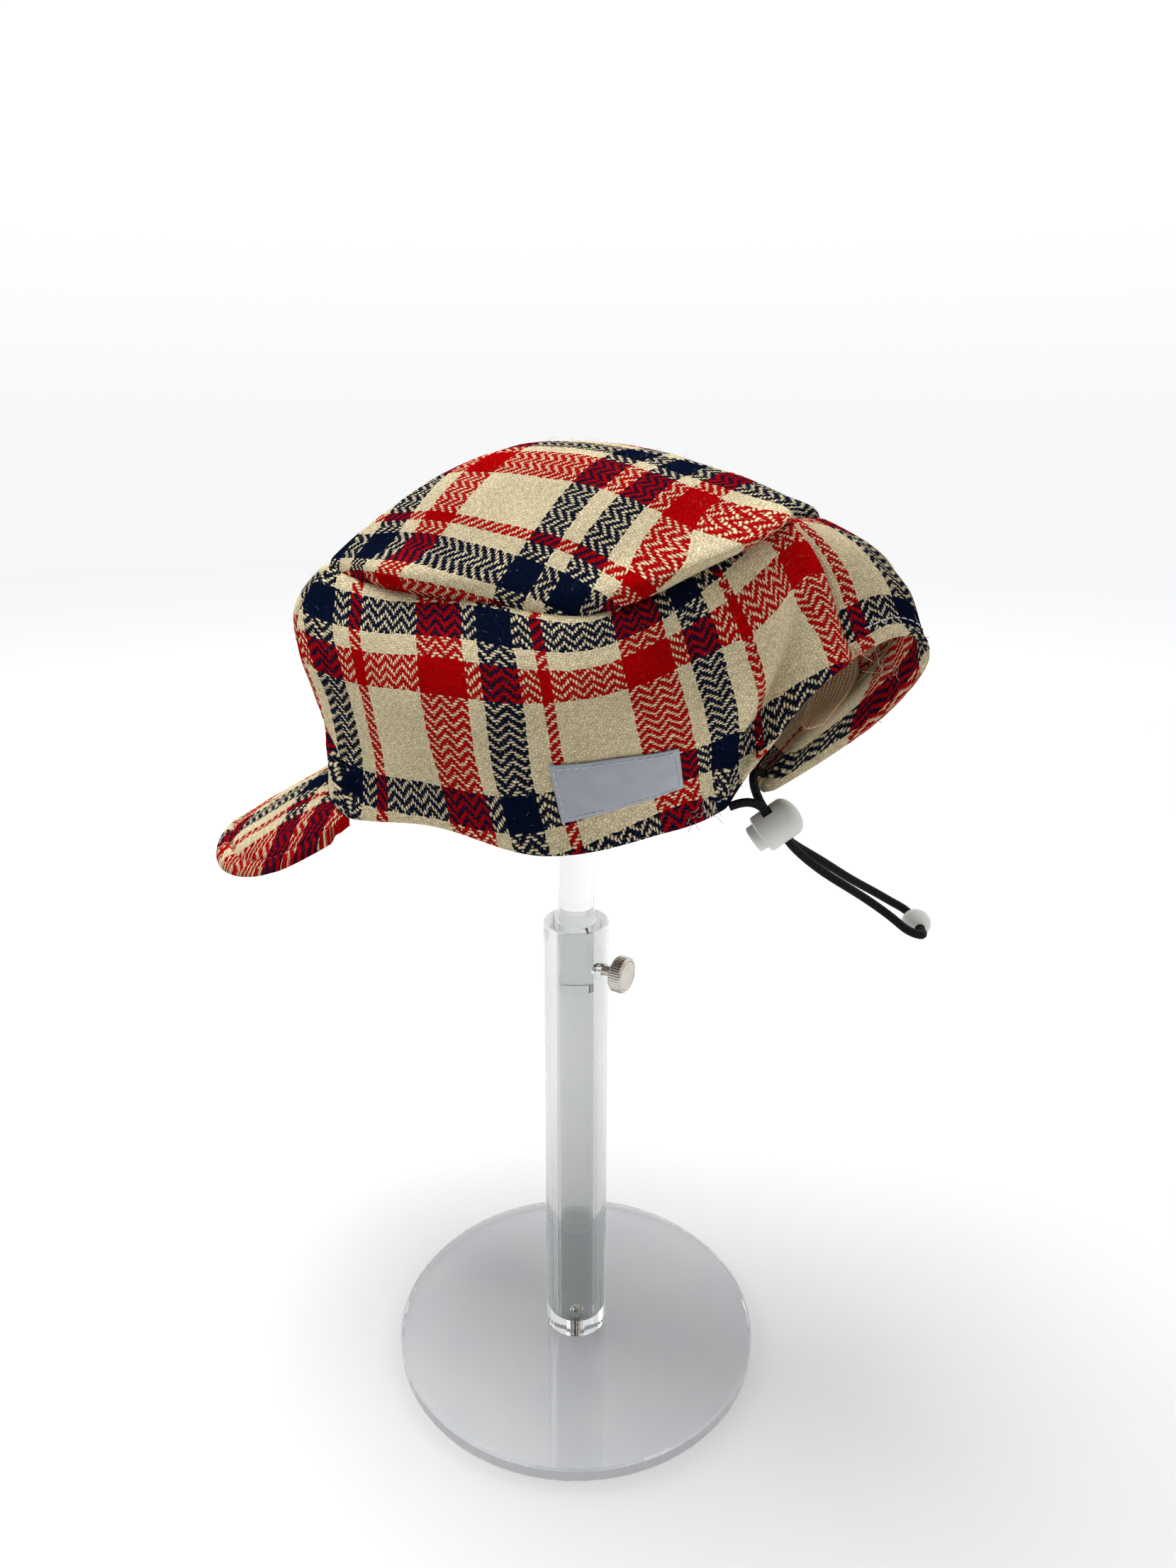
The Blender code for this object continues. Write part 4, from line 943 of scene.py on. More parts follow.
def twill_group():
    """A two and two twill that turns back on itself: which thread lies on top, and how high."""
    bench, given, out = shader_group(
        "herringbone twill",
        (("Place", "vector", None), ("Pitch", "value", THREAD_PITCH), ("Turn", "value", 4.0)),
        (
            ("Crosswise", "value"),
            ("Height", "value"),
            ("Warp place", "value"),
            ("Weft place", "value"),
            ("Fibre", "value"),
        ),
    )
    wobble = bench.add("ShaderNodeTexNoise")
    bench.join(given["Place"], wobble.inputs["Vector"])
    wobble.inputs["Scale"].default_value = WANDER_SCALE
    wobble.inputs["Detail"].default_value = 2
    shift = bench.add("ShaderNodeVectorMath", operation="SUBTRACT")
    bench.join(wobble.outputs["Color"], shift.inputs[0])
    shift.inputs[1].default_value = (0.5, 0.5, 0.5)
    drift = bench.add("ShaderNodeVectorMath", operation="MULTIPLY_ADD")
    bench.join(shift.outputs[0], drift.inputs[0])
    drift.inputs[1].default_value = (THREAD_WANDER, THREAD_WANDER, 0)
    bench.join(given["Place"], drift.inputs[2])
    x, y, _ = bench.parts(drift.outputs[0])
    u = bench.over(x, given["Pitch"])
    v = bench.over(y, given["Pitch"])
    column = bench.math("FLOOR", u)
    row = bench.math("FLOOR", v)
    step = bench.zigzag(column, given["Turn"])
    cell = bench.wrapped(bench.plus(row, step), 4.0)
    crosswise = bench.math("GREATER_THAN", cell, 1.5)
    warp_phase = bench.wrapped(bench.plus(v, step), 4.0)
    warp_end = bench.minus(1.0, bench.absolute(bench.minus(warp_phase, 1.0)))
    smooth = bench.zigzag(bench.minus(u, 0.5), given["Turn"])
    weft_phase = bench.wrapped(bench.plus(bench.plus(row, 0.5), smooth), 4.0)
    weft_end = bench.minus(1.0, bench.absolute(bench.minus(weft_phase, 3.0)))

    def crest(along, across):
        side = bench.times(bench.minus(bench.math("FRACT", across), 0.5), 2.0)
        round_off = bench.minus(1.0, bench.power(bench.absolute(side), 2.0))
        ends = bench.power(bench.math("MAXIMUM", along, 0.02), 0.40)
        return bench.times(round_off, ends)

    height = bench.between(crosswise, crest(warp_end, u), crest(weft_end, v))
    warp_fibre = bench.noise(bench.place(bench.times(u, 5.0), bench.times(v, 0.9)), 1.0)
    weft_fibre = bench.noise(bench.place(bench.times(u, 0.9), bench.times(v, 5.0)), 1.0)
    bench.join(crosswise, out["Crosswise"])
    bench.join(height, out["Height"])
    centre_u = bench.times(bench.plus(column, 0.5), given["Pitch"])
    centre_v = bench.times(bench.plus(row, 0.5), given["Pitch"])
    bench.join(centre_u, out["Warp place"])
    bench.join(centre_v, out["Weft place"])
    bench.join(bench.between(crosswise, warp_fibre, weft_fibre), out["Fibre"])
    return bench.tree


def stripes_group(name, widths):
    """Colours of the threads set side by side, for a place across them; widths in millimetres."""
    bench, given, out = shader_group(name, (("Place", "value", None),), (("Colour", "colour"),))
    period = sum(width for _, width in widths) / 1000
    ramp = bench.add("ShaderNodeValToRGB")
    ramp.color_ramp.interpolation = "CONSTANT"
    stops = ramp.color_ramp.elements
    start = 0.0
    for n, (shade, width) in enumerate(widths):
        stop = stops[n] if n < 2 else stops.new(start / (period * 1000))
        stop.position = start / (period * 1000)
        stop.color = (*YARNS[shade], 1)
        start += width
    turn = bench.math("FRACT", bench.over(given["Place"], period))
    bench.join(turn, ramp.inputs[0])
    bench.join(ramp.outputs[0], out["Colour"])
    return bench.tree


YARNS = {
    "cream": (0.745, 0.632, 0.405),
    "red": (0.37, 0.0014, 0.0020),
    "navy": (0.0030, 0.0060, 0.0200),
}
# Runs of threads side by side, in millimetres
LENGTHWISE = (
    ("navy", 10.8), ("cream", 5.9), ("red", 3.9), ("cream", 22.8), ("red", 16.3), ("cream", 4.8),
)
CROSSWISE = (
    ("navy", 10.8), ("cream", 6.5), ("red", 11.9), ("cream", 32.5), ("navy", 10.8), ("cream", 6.5),
)
RIGHT_LENGTHWISE = (
    ("cream", 2.5), ("red", 4.6), ("cream", 14.0), ("navy", 11.5), ("cream", 6.0), ("red", 16.3),
    ("cream", 20.0),
)
BILL_LENGTHWISE = (
    ("red", 15.0), ("cream", 4.0), ("red", 3.0), ("cream", 4.0), ("navy", 11.0), ("cream", 5.0),
    ("red", 3.5), ("cream", 20.0),
)


def plain_material(name, colour, roughness, **sockets):
    made = bpy.data.materials.new(name)
    made.use_nodes = True
    shader = made.node_tree.nodes["Principled BSDF"]
    shader.inputs["Base Color"].default_value = (*colour, 1)
    shader.inputs["Roughness"].default_value = roughness
    for label, value in sockets.items():
        shader.inputs[label.replace("_", " ")].default_value = value
    return made, Bench(made.node_tree), shader


def cloth_place(bench):
    return bench.add("ShaderNodeUVMap", uv_map="fabric").outputs[0]


def bump(bench, shader, height, strength, distance):
    made = bench.add("ShaderNodeBump")
    made.inputs["Strength"].default_value = strength
    made.inputs["Distance"].default_value = distance
    bench.join(height, made.inputs["Height"])
    bench.join(made.outputs[0], shader.inputs["Normal"])


def hairs_group():
    """A mask of fine loose hairs lying on the cloth."""
    bench, given, out = shader_group(
        "loose hairs", (("Place", "vector", None), ("Spread", "value", 260.0)), (("Mask", "value"),)
    )
    line = bench.noise(given["Place"], given["Spread"], 1.0)
    thin = bench.ranged(bench.absolute(bench.minus(line, 0.5)), 0.0, 0.010, 1.0, 0.0)
    here = bench.ranged(bench.noise(given["Place"], 70, 1.0), 0.48, 0.60, 0.0, 1.0)
    bench.join(bench.times(thin, here), out["Mask"])
    return bench.tree


def wool_material(name, twill, hairs, lengthwise, crosswise):
    """Felted plaid wool, with the threads of both directions on their places on the cloth."""
    made, bench, shader = plain_material(name, YARNS["cream"], 1.0, Specular_IOR_Level=0.0)
    place = cloth_place(bench)
    weave = use_group(bench, twill, place=place)
    warp = use_group(bench, lengthwise, place=weave["Warp place"])["Colour"]
    weft = use_group(bench, crosswise, place=weave["Weft place"])["Colour"]
    upper = bench.blend(weave["Crosswise"], warp, weft)
    under = bench.blend(weave["Crosswise"], weft, warp)
    felt = bench.noise(place, 1300, 3.0, 0.75)
    fluff = bench.noise(place, 4200, 2.0, 0.7)
    # a pale thread over a dark one shows thin, because the dark yarns are fuller and felted
    paler = bench.minus(bench.grey(upper), bench.grey(under))
    lead = bench.ranged(paler, -0.25, 0.25, -0.20, 0.42)
    ragged = bench.times_plus(bench.minus(felt, 0.5), 1.7, weave["Height"])
    ragged = bench.times_plus(bench.minus(fluff, 0.5), 0.7, ragged)
    shown = bench.ranged(bench.minus(ragged, lead), -0.20, 0.28, 0.0, 1.0)
    shade = bench.blend(shown, under, upper)
    pale = bench.ranged(bench.grey(shade), 0.05, 0.40, 0.0, 1.0)
    # painted shade: the colour is darkened in the hollows between the threads, more on pale yarn,
    # and a touch lighter on their crests
    hollow_shade = bench.ranged(weave["Height"], 0.0, 0.95, bench.between(pale, 0.74, 0.58), 1.04)
    darkest, lightest = bench.between(pale, 0.72, 0.86), bench.between(pale, 1.25, 1.08)
    tone = bench.ranged(weave["Fibre"], 0.3, 0.7, darkest, lightest)
    patch = bench.ranged(bench.noise(place, 60, 2.0), 0.3, 0.7, 0.92, 1.06)
    tone = bench.times(tone, bench.ranged(fluff, 0.3, 0.7, 0.78, 1.16))
    knots = bench.noise(place, 620, 2.0)
    tone = bench.times(tone, bench.ranged(knots, 0.35, 0.65, 0.84, 1.14))
    # the painted shade of the hollows, times the yarn's own tone and patches
    depth = bench.times(bench.times(hollow_shade, tone), patch)
    colour = bench.blend(1.0, shade, bench.place(depth, depth, depth), "MULTIPLY")
    loose = use_group(bench, hairs, place=place)["Mask"]
    colour = bench.blend(bench.times(loose, 0.04), colour, (0.33, 0.30, 0.28, 1))
    bench.join(colour, shader.inputs["Base Color"])
    raised = bench.times(weave["Height"], bench.between(pale, 0.35, 1.0))
    relief = bench.times_plus(felt, 0.6, raised)
    bump(bench, shader, relief, 0.45, 0.00034)
    return made


def build_stripes():
    return {
        "lengthwise": stripes_group("lengthwise stripes", LENGTHWISE),
        "crosswise": stripes_group("crosswise stripes", CROSSWISE),
        "right": stripes_group("right panel stripes", RIGHT_LENGTHWISE),
        "bill": stripes_group("bill stripes", BILL_LENGTHWISE),
    }


TWILL = twill_group()
HAIRS = hairs_group()
STRIPES = build_stripes()
ACROSS = STRIPES["crosswise"]
WOOL = wool_material("plaid wool", TWILL, HAIRS, STRIPES["lengthwise"], ACROSS)
WOOL_RIGHT = wool_material("plaid wool of the right panel", TWILL, HAIRS, STRIPES["right"], ACROSS)
WOOL_BILL = wool_material("plaid wool of the bill", TWILL, HAIRS, STRIPES["bill"], ACROSS)


def metres(bench):
    """Places on a CAD piece, which carries no cloth places."""
    return bench.add("ShaderNodeTexCoord").outputs["Object"]


def clear_acrylic(name, deep_tone, light_tone, shade):
    made, bench, shader = plain_material(
        name, light_tone[:3], 0.02, Transmission_Weight=1.0, IOR=1.49
    )
    place = metres(bench)
    haze = bench.noise(place, 45, 4.0, 0.6)
    bench.join(bench.ranged(haze, 0.45, 0.75, 0.012, 0.05), shader.inputs["Roughness"])
    tint = bench.blend(bench.noise(place, 25, 2.0), deep_tone, light_tone)
    bench.join(tint, shader.inputs["Base Color"])
    # light for shadows goes straight through, so the floor under the disc stays bright
    through = bench.add("ShaderNodeBsdfTransparent")
    through.inputs[0].default_value = shade
    mixed = bench.add("ShaderNodeMixShader")
    path = bench.add("ShaderNodeLightPath").outputs
    deep = bench.math("GREATER_THAN", path["Ray Depth"], 4.5)
    bench.join(bench.math("MAXIMUM", path["Is Shadow Ray"], deep), mixed.inputs[0])
    bench.join(shader.outputs[0], mixed.inputs[1])
    bench.join(through.outputs[0], mixed.inputs[2])
    bench.join(mixed.outputs[0], made.node_tree.nodes["Material Output"].inputs[0])
    return made


def nickel_plate():
    made, bench, shader = plain_material("nickel plate", (0.62, 0.58, 0.52), 0.24, Metallic=1.0)
    place = metres(bench)
    rubbed = bench.noise(place, 900, 4.0, 0.7)
    stain = bench.noise(place, 260, 2.0)
    colour = bench.blend(stain, (0.50, 0.46, 0.40, 1), (0.70, 0.67, 0.62, 1))
    bench.join(colour, shader.inputs["Base Color"])
    bench.join(bench.ranged(rubbed, 0.3, 0.7, 0.16, 0.34), shader.inputs["Roughness"])
    bump(bench, shader, rubbed, 0.25, 0.00006)
    return made


def moulded_plastic():
    made, bench, shader = plain_material("white moulded plastic", (0.72, 0.73, 0.70), 0.40)
    shader.inputs["Subsurface Weight"].default_value = 0.12
    shader.inputs["Subsurface Scale"].default_value = 0.002
    place = metres(bench)
    cloud = bench.noise(place, 300, 3.0)
    grain = bench.noise(place, 5200, 2.0)
    colour = bench.blend(cloud, (0.66, 0.68, 0.65, 1), (0.76, 0.77, 0.73, 1))
    bench.join(colour, shader.inputs["Base Color"])
    bench.join(bench.ranged(cloud, 0.3, 0.7, 0.33, 0.48), shader.inputs["Roughness"])
    bump(bench, shader, grain, 0.25, 0.00004)
    return made


def braided_elastic():
    """Places run in metres along the cord, then once round it."""
    made, bench, shader = plain_material(
        "braided black elastic", (0.006, 0.006, 0.007), 0.62, Specular_IOR_Level=0.14
    )
    x, y, _ = bench.parts(cloth_place(bench))
    along = bench.over(x, 0.0011)
    one = bench.zigzag(bench.times_plus(y, 8.0, along), 1.0)
    two = bench.zigzag(bench.times_plus(y, -8.0, along), 1.0)
    strand = bench.math("MAXIMUM", one, two)
    fine = bench.noise(bench.place(bench.times(x, 900), bench.times(y, 30)), 1.0, 2.0)
    # painted shade: the grooves between the braid's strands are darker and its crests lighter, with
    # a fine fibre noise on top
    tone = bench.times(strand, fine)
    shade = bench.blend(tone, (0.002, 0.002, 0.003, 1), (0.016, 0.016, 0.018, 1))
    bench.join(shade, shader.inputs["Base Color"])
    bump(bench, shader, strand, 0.8, 0.00022)
    return made


def label_satin():
    # painted shade: the white satin's colours, here and below, are darkened to the grey-blue it
    # shows in the shade on the side panel, and a little darker between its ribs
    made, bench, shader = plain_material(
        "label satin", (0.46, 0.49, 0.56), 0.45, Specular_IOR_Level=0.4
    )
    place = cloth_place(bench)
    x, y, _ = bench.parts(place)
    wander = bench.noise(place, 700, 2.0)
    slant = bench.over(bench.plus(x, y), 0.00030)
    rib = bench.zigzag(bench.times_plus(wander, 0.6, slant), 1.0)
    pick = bench.zigzag(bench.over(bench.minus(y, x), 0.00045), 1.0)
    woven = bench.times_plus(pick, 0.4, rib)
    tone = bench.times_plus(bench.noise(place, 120, 2.0), 0.5, bench.times(woven, 0.35))
    colour = bench.blend(tone, (0.24, 0.265, 0.31, 1), (0.44, 0.475, 0.53, 1))
    bench.join(colour, shader.inputs["Base Color"])
    bench.join(bench.ranged(wander, 0.3, 0.7, 0.34, 0.52), shader.inputs["Roughness"])
    bump(bench, shader, woven, 0.5, 0.00010)
    return made


def ribbed_tape():
    made, bench, shader = plain_material(
        "ribbed tan tape", (0.60, 0.42, 0.24), 0.85, Specular_IOR_Level=0.2
    )
    place = cloth_place(bench)
    x, y, _ = bench.parts(place)
    wander = bench.noise(place, 500, 2.0)
    rib = bench.zigzag(bench.times_plus(wander, 0.5, bench.over(x, 0.00055)), 1.0)
    pick = bench.zigzag(bench.times_plus(wander, 0.5, bench.over(y, 0.00060)), 1.0)
    ribs = bench.ranged(rib, 0.15, 0.6, 0.0, 1.0)
    open_weave = bench.times(ribs, bench.ranged(pick, 0.15, 0.6, 0.3, 1.0))
    tone = bench.times(open_weave, bench.ranged(wander, 0.3, 0.7, 0.75, 1.0))
    # painted light and shade: the tan runs paler than the tape's own, to brighten it in the shade
    # inside the arch, and the gaps between its ribs are painted darker for the shade in them
    colour = bench.blend(tone, (0.50, 0.29, 0.15, 1), (1.0, 0.84, 0.60, 1))
    bench.join(colour, shader.inputs["Base Color"])
    bump(bench, shader, open_weave, 0.8, 0.00025)
    return made


def sewing_thread(name, low, high):
    """Twisted thread; places run in metres along it, then once round it."""
    made, bench, shader = plain_material(name, high[:3], 0.7, Specular_IOR_Level=0.2)
    x, y, _ = bench.parts(cloth_place(bench))
    twist = bench.zigzag(bench.times_plus(y, 2.0, bench.over(x, 0.0005)), 1.0)
    # painted shade: the twist's grooves are darker than the thread's crests
    bench.join(bench.blend(twist, low, high), shader.inputs["Base Color"])
    bump(bench, shader, twist, 0.6, 0.00008)
    return made


# painted shade: the clear acrylic is tinted grey for the grey reflections it shows; the column's
# tint is deeper for the same, and the base's for the shade under the disc
CLEAR = clear_acrylic(
    "clear acrylic", (0.78, 0.79, 0.80, 1), (0.86, 0.86, 0.85, 1), (0.93, 0.935, 0.95, 1)
)
CLEAR_COLUMN = clear_acrylic(
    "clear acrylic of the column",
    (0.64, 0.655, 0.655, 1), (0.71, 0.72, 0.71, 1), (0.92, 0.925, 0.93, 1),
)
CLEAR_BASE = clear_acrylic(
    "clear acrylic of the base",
    (0.69, 0.705, 0.735, 1), (0.79, 0.795, 0.79, 1), (0.86, 0.865, 0.87, 1),
)
NICKEL = nickel_plate()
PLASTIC = moulded_plastic()
ELASTIC = braided_elastic()
SATIN = label_satin()
TAN = ribbed_tape()
THREAD = sewing_thread("white thread", (0.46, 0.46, 0.48, 1), (0.80, 0.80, 0.80, 1))
RED_THREAD = sewing_thread("red yarn end", (0.20, 0.003, 0.004, 1), (0.50, 0.010, 0.012, 1))
CREAM_THREAD = sewing_thread("cream yarn end", (0.36, 0.30, 0.20, 1), (0.66, 0.58, 0.42, 1))
NAVY_THREAD = sewing_thread("navy yarn end", (0.004, 0.006, 0.014, 1), (0.020, 0.026, 0.050, 1))


# ---------------------------------------------------------------- cap pieces
for panel in ("left", "right", "front"):
    band_panel(panel)
top_panel()


def bill_swell(edge, x, y):
    """How far each face of the padded bill stands off, for a distance in from its outer edge."""
    channel = math.exp(-(((edge - CHANNEL_IN) / CHANNEL_WIDTH) ** 2)) * CHANNEL_DEPTH
    roll = 0.0
    if edge < CHANNEL_IN:
        roll = PIPE_SWELL * math.sin(math.pi * min(edge / CHANNEL_IN, 1.0)) ** 0.7
    pad = PAD_SWELL * smoothstep(CHANNEL_IN, PAD_REACH * CHANNEL_IN, edge)
    spot = Vector((x, y, 0.31))
    lumps = noise.noise(spot * 45) * 0.0011 + noise.noise(spot * 120) * 0.00035
    pucker = noise.noise(spot * 260) * 0.0005 * math.exp(-(((edge - CHANNEL_IN) / 0.004) ** 2))
    return roll + pad + lumps + pucker - channel


def bill_surfaces(columns=151, rows=84):
    """Upper and lower faces of the padded bill, from its root out, and the places on the cloth."""
    upper, lower, spots = [], [], []
    for r in range(rows):
        out = 1 - (1 - r / (rows - 1)) ** 1.5
        upper_row, lower_row, spot_row = [], [], []
        for c in range(columns):
            share = c / (columns - 1)
            turn = BILL_TURN * (1 - 2 * share)
            root = HEM_RIM.at(between(HEM_RIM, HEM_LEFT_BILL_ROW, HEM_RIGHT_BILL_ROW, share))
            front = -CROWN_REACH * 0.90 + 0.002
            side = BILL_SIDE_BACK * (1 - math.cos(turn))
            reach = BILL_LENGTH * math.cos(turn) ** BILL_FULLNESS
            edge = np.array([BILL_HALF_WIDTH * math.sin(turn), front + side - reach, 0])
            inside = (np.array([0, -0.2 * CROWN_REACH, 0]) - root) * (1, 1, 0)
            start = root + unit(inside) * BILL_ROOT_IN
            run = (edge - start) * (1, 1, 0)
            d = np.linalg.norm(run) * out
            x, y = (start + run * out)[:2]
            drop = BILL_SLOPE * (math.hypot(d, BILL_BEND) - BILL_BEND)
            drop += BILL_CURL * (x / BILL_HALF_WIDTH) ** 2 * (1 - math.exp(-d / BILL_CURL_REACH))
            z = root[2] - BILL_SEAT - drop
            left = np.linalg.norm(run) - d
            thick = BILL_THICKNESS * (1 - BILL_THIN * max(0.0, 1 - left / BILL_TAPER))
            swell = bill_swell(left, x, y) * smoothstep(0.0, 0.006, d)
            upper_row.append((x, y, z + swell))
            lower_row.append((x, y, z - thick - swell * BILL_UNDER))
            spot_row.append((BILL_HALF_WIDTH - x, y))
        upper.append(upper_row)
        lower.append(lower_row)
        spots.append(spot_row)
    return np.array(upper), np.array(lower), np.array(spots)


def bill():
    """The padded peak: both faces, a rounded edge and a closed root."""
    upper, lower, spots = bill_surfaces()
    columns = upper.shape[1]
    rim = []
    for t in np.radians([30, 60, 90, 120, 150]):
        middle = (upper[-1] + lower[-1]) / 2
        half = (upper[-1] - lower[-1]) / 2
        outward = units(upper[-1] - upper[-3])
        rim.append(middle + half * math.cos(t) + outward * BILL_EDGE * math.sin(t))
    rings = np.concatenate([upper, np.array(rim), lower[::-1]])
    flat = np.concatenate([spots, np.repeat(spots[-1:], len(rim), axis=0), spots[::-1]])
    total = len(rings)
    faces = grid_faces(total, columns)
    for c in range(columns - 1):
        faces.append((c, c + 1, (total - 1) * columns + c + 1, (total - 1) * columns + c))
    for c in (0, columns - 1):
        for r in range(total // 2):
            a, b = r * columns + c, (r + 1) * columns + c
            e, f = (total - 1 - r) * columns + c, (total - 2 - r) * columns + c
            faces.append((a, b, f, e) if f != b else (a, b, e))
    made = cell_mesh("bill_padded", rings.reshape(-1, 3), faces, flat.reshape(-1, 2))
    finished(made, WOOL_BILL, "wool", "bill")
    return made


bill()


def on_skin(skin, along, up):
    """The place on a side panel's skin."""
    c = int(np.clip(np.searchsorted(STEPS, along) - 1, 0, len(STEPS) - 2))
    x = (along - STEPS[c]) / (STEPS[c + 1] - STEPS[c])
    ring = up * (BAND_RINGS - 1)
    r = int(np.clip(ring, 0, BAND_RINGS - 2))
    y = ring - r
    low = skin[r, c] * (1 - x) + skin[r, c + 1] * x
    high = skin[r + 1, c] * (1 - x) + skin[r + 1, c + 1] * x
    return low * (1 - y) + high * y


def inward_normal(skin, along, up):
    """Unit vector from a side panel's skin into the cap."""
    step = 0.02
    across = on_skin(skin, along + step, up) - on_skin(skin, along - step, up)
    rise = on_skin(skin, along, up + step) - on_skin(skin, along, up - step)
    found = unit(np.cross(across, rise))
    here = on_skin(skin, along, up)
    centre = np.array([0, 0.2 * CROWN_REACH, here[2]])
    return found if found @ (centre - here) > 0 else -found


def slab(name, grid, normals, thickness, spots):
    """A thin sheet from a grid of points, thickened along its normals, with places on it."""
    rows, columns = grid.shape[:2]
    count = rows * columns
    points = np.concatenate([grid.reshape(-1, 3), (grid + normals * thickness).reshape(-1, 3)])
    flat = np.concatenate([spots.reshape(-1, 2)] * 2)
    faces = []
    for r in range(rows - 1):
        for c in range(columns - 1):
            a = r * columns + c
            faces.append((a, a + columns, a + columns + 1, a + 1))
            faces.append((a + count, a + 1 + count, a + columns + 1 + count, a + columns + count))
    rim = list(range(columns))
    rim += [r * columns + columns - 1 for r in range(1, rows)]
    rim += [(rows - 1) * columns + c for c in range(columns - 2, -1, -1)]
    rim += [r * columns for r in range(rows - 2, 0, -1)]
    for a, b in zip(rim, rim[1:] + rim[:1]):
        faces.append((a, b, b + count, a + count))
    return cell_mesh(name, points, faces, flat)


# Corners of the label on the left panel, as shares along it and up it
LABEL_TOP = ((0.493, 0.403), (0.656, 0.435))
LABEL_BOTTOM = ((0.483, 0.140), (0.657, 0.221))
LABEL_WIDTH = 0.040
LABEL_HEIGHT = 0.020
LABEL_CLOTH = 0.00035
LABEL_STITCH_IN = 0.0013


def label_spot(wide, high):
    """(along, up) on the left panel for shares across and up the label."""
    low, top = (
        np.array(start) * (1 - wide) + np.array(end) * wide
        for start, end in (LABEL_BOTTOM, LABEL_TOP)
    )
    return low * (1 - high) + top * high


def label():
    """The bare woven label, lifted inside its sewn edge and buckled a little."""
    skin = SKINS["left"][0]
    rows, columns = 33, 65
    grid = np.zeros((rows, columns, 3))
    normals = np.zeros_like(grid)
    spots = np.zeros((rows, columns, 2))
    for r, high in enumerate(np.linspace(0, 1, rows)):
        for c, wide in enumerate(np.linspace(0, 1, columns)):
            along, up = label_spot(wide, high)
            normals[r, c] = -inward_normal(skin, along, up)
            near_edge = min(
                min(wide, 1 - wide) * LABEL_WIDTH, min(high, 1 - high) * LABEL_HEIGHT
            )
            buckle = noise.noise(Vector((wide * 5, high * 2.5, 2.7))) * 0.0004
            lift = LABEL_CLOTH + 0.0005 * smoothstep(0.0, 0.004, near_edge) + buckle
            grid[r, c] = on_skin(skin, along, up) + normals[r, c] * lift
            spots[r, c] = wide * LABEL_WIDTH, high * LABEL_HEIGHT
    made = slab("side_label_woven", grid, normals, LABEL_CLOTH, spots)
    return finished(made, SATIN, "label", "side_label")


label()


# The tape's two edges inside the right panel, as shares along it and up it
TAPE_ROWS = (
    (0.640, 0.72, 0.700, 0.76),
    (0.672, 0.55, 0.735, 0.59),
    (0.702, 0.38, 0.768, 0.42),
    (0.722, 0.29, 0.788, 0.29),
    (0.738, 0.22, 0.782, 0.20),
)
TAPE_WIDTH = 0.012
TAPE_LENGTH = 0.060
TAPE_CLOTH = 0.0008


def seam_tape():
    """The strip of tan tape that follows the seam inside the arch."""
    skin = SKINS["right"][1]
    rows = np.array(TAPE_ROWS)
    knots = np.linspace(0, 1, len(rows))
    count, wide = 60, 17
    grid = np.zeros((count, wide, 3))
    normals = np.zeros_like(grid)
    spots = np.zeros((count, wide, 2))
    for r, share in enumerate(np.linspace(0, 1, count)):
        edges = np.array([np.interp(share, knots, rows[:, n]) for n in range(4)])
        for c, width in enumerate(np.linspace(0, 1, wide)):
            along, up = edges[:2] + (edges[2:] - edges[:2]) * width
            normals[r, c] = inward_normal(skin, along, up)
            grid[r, c] = on_skin(skin, along, up) + normals[r, c] * TAPE_CLOTH / 2
            spots[r, c] = width * TAPE_WIDTH, share * TAPE_LENGTH
    made = slab("seam_tape_woven", grid, normals, TAPE_CLOTH, spots)
    return finished(made, TAN, "tape", "seam_tape")


seam_tape()


# ---------------------------------------------------------------- tubes, threads and hairs
def tube_rings(path, radius, around):
    """Rings of a round tube along a path, with places in metres along and once round it."""
    path = np.array(path)
    heading = units(np.gradient(path, axis=0))
    side = unit(np.cross(heading[0], (0.3, 0.2, 0.9)))
    run = running(path)
    turns = np.linspace(0, 2 * math.pi, around, endpoint=False)
    rings, spots = [], []
    for n, spot in enumerate(path):
        side = unit(side - heading[n] * (side @ heading[n]))
        up = np.cross(heading[n], side)
        r = radius[n] if hasattr(radius, "__len__") else radius
        rings.append([spot + (side * math.cos(t) + up * math.sin(t)) * r for t in turns])
        spots.append([(run[n], t / (2 * math.pi)) for t in turns])
    return rings, spots


def tube(name, path, radius, around):
    rings, spots = tube_rings(path, radius, around)
    return lofted(name, rings, spots, closed=True, ends=("capped", "capped"))


def bundle(name, paths, radii, around=5):
    """Many thin tubes in one piece, such as the stitches of a seam."""
    points, faces, spots = [], [], []
    for path, radius in zip(paths, radii):
        rings, ring_spots = tube_rings(path, radius, around)
        base, rows = len(points), len(rings)
        for ring, spot in zip(rings, ring_spots):
            points += list(ring)
            spots += spot
        faces += grid_faces(rows, around, closed=True, base=base)
        faces.append(tuple(base + c for c in range(around))[::-1])
        faces.append(tuple(base + (rows - 1) * around + c for c in range(around)))
    return cell_mesh(name, points, faces, spots)


def stitches(line, normals, length, gap, radius, seed):
    """Paths of short stitches along a line on a surface; each dips into the cloth at its ends."""
    line, normals = np.array(line), np.array(normals)
    run = running(line)
    rng = np.random.default_rng(seed)
    paths, start = [], gap
    while start + length < run[-1]:
        long = length * rng.uniform(0.85, 1.1)
        path = []
        for share in np.linspace(0, 1, 6):
            place = start + long * share
            spot = np.array([np.interp(place, run, line[:, n]) for n in range(3)])
            up = np.array([np.interp(place, run, normals[:, n]) for n in range(3)])
            path.append(spot + up * (radius * (2.6 * math.sin(math.pi * share) ** 0.6 - 1.3)))
        paths.append(path)
        start += long + gap * rng.uniform(0.8, 1.25)
    return paths


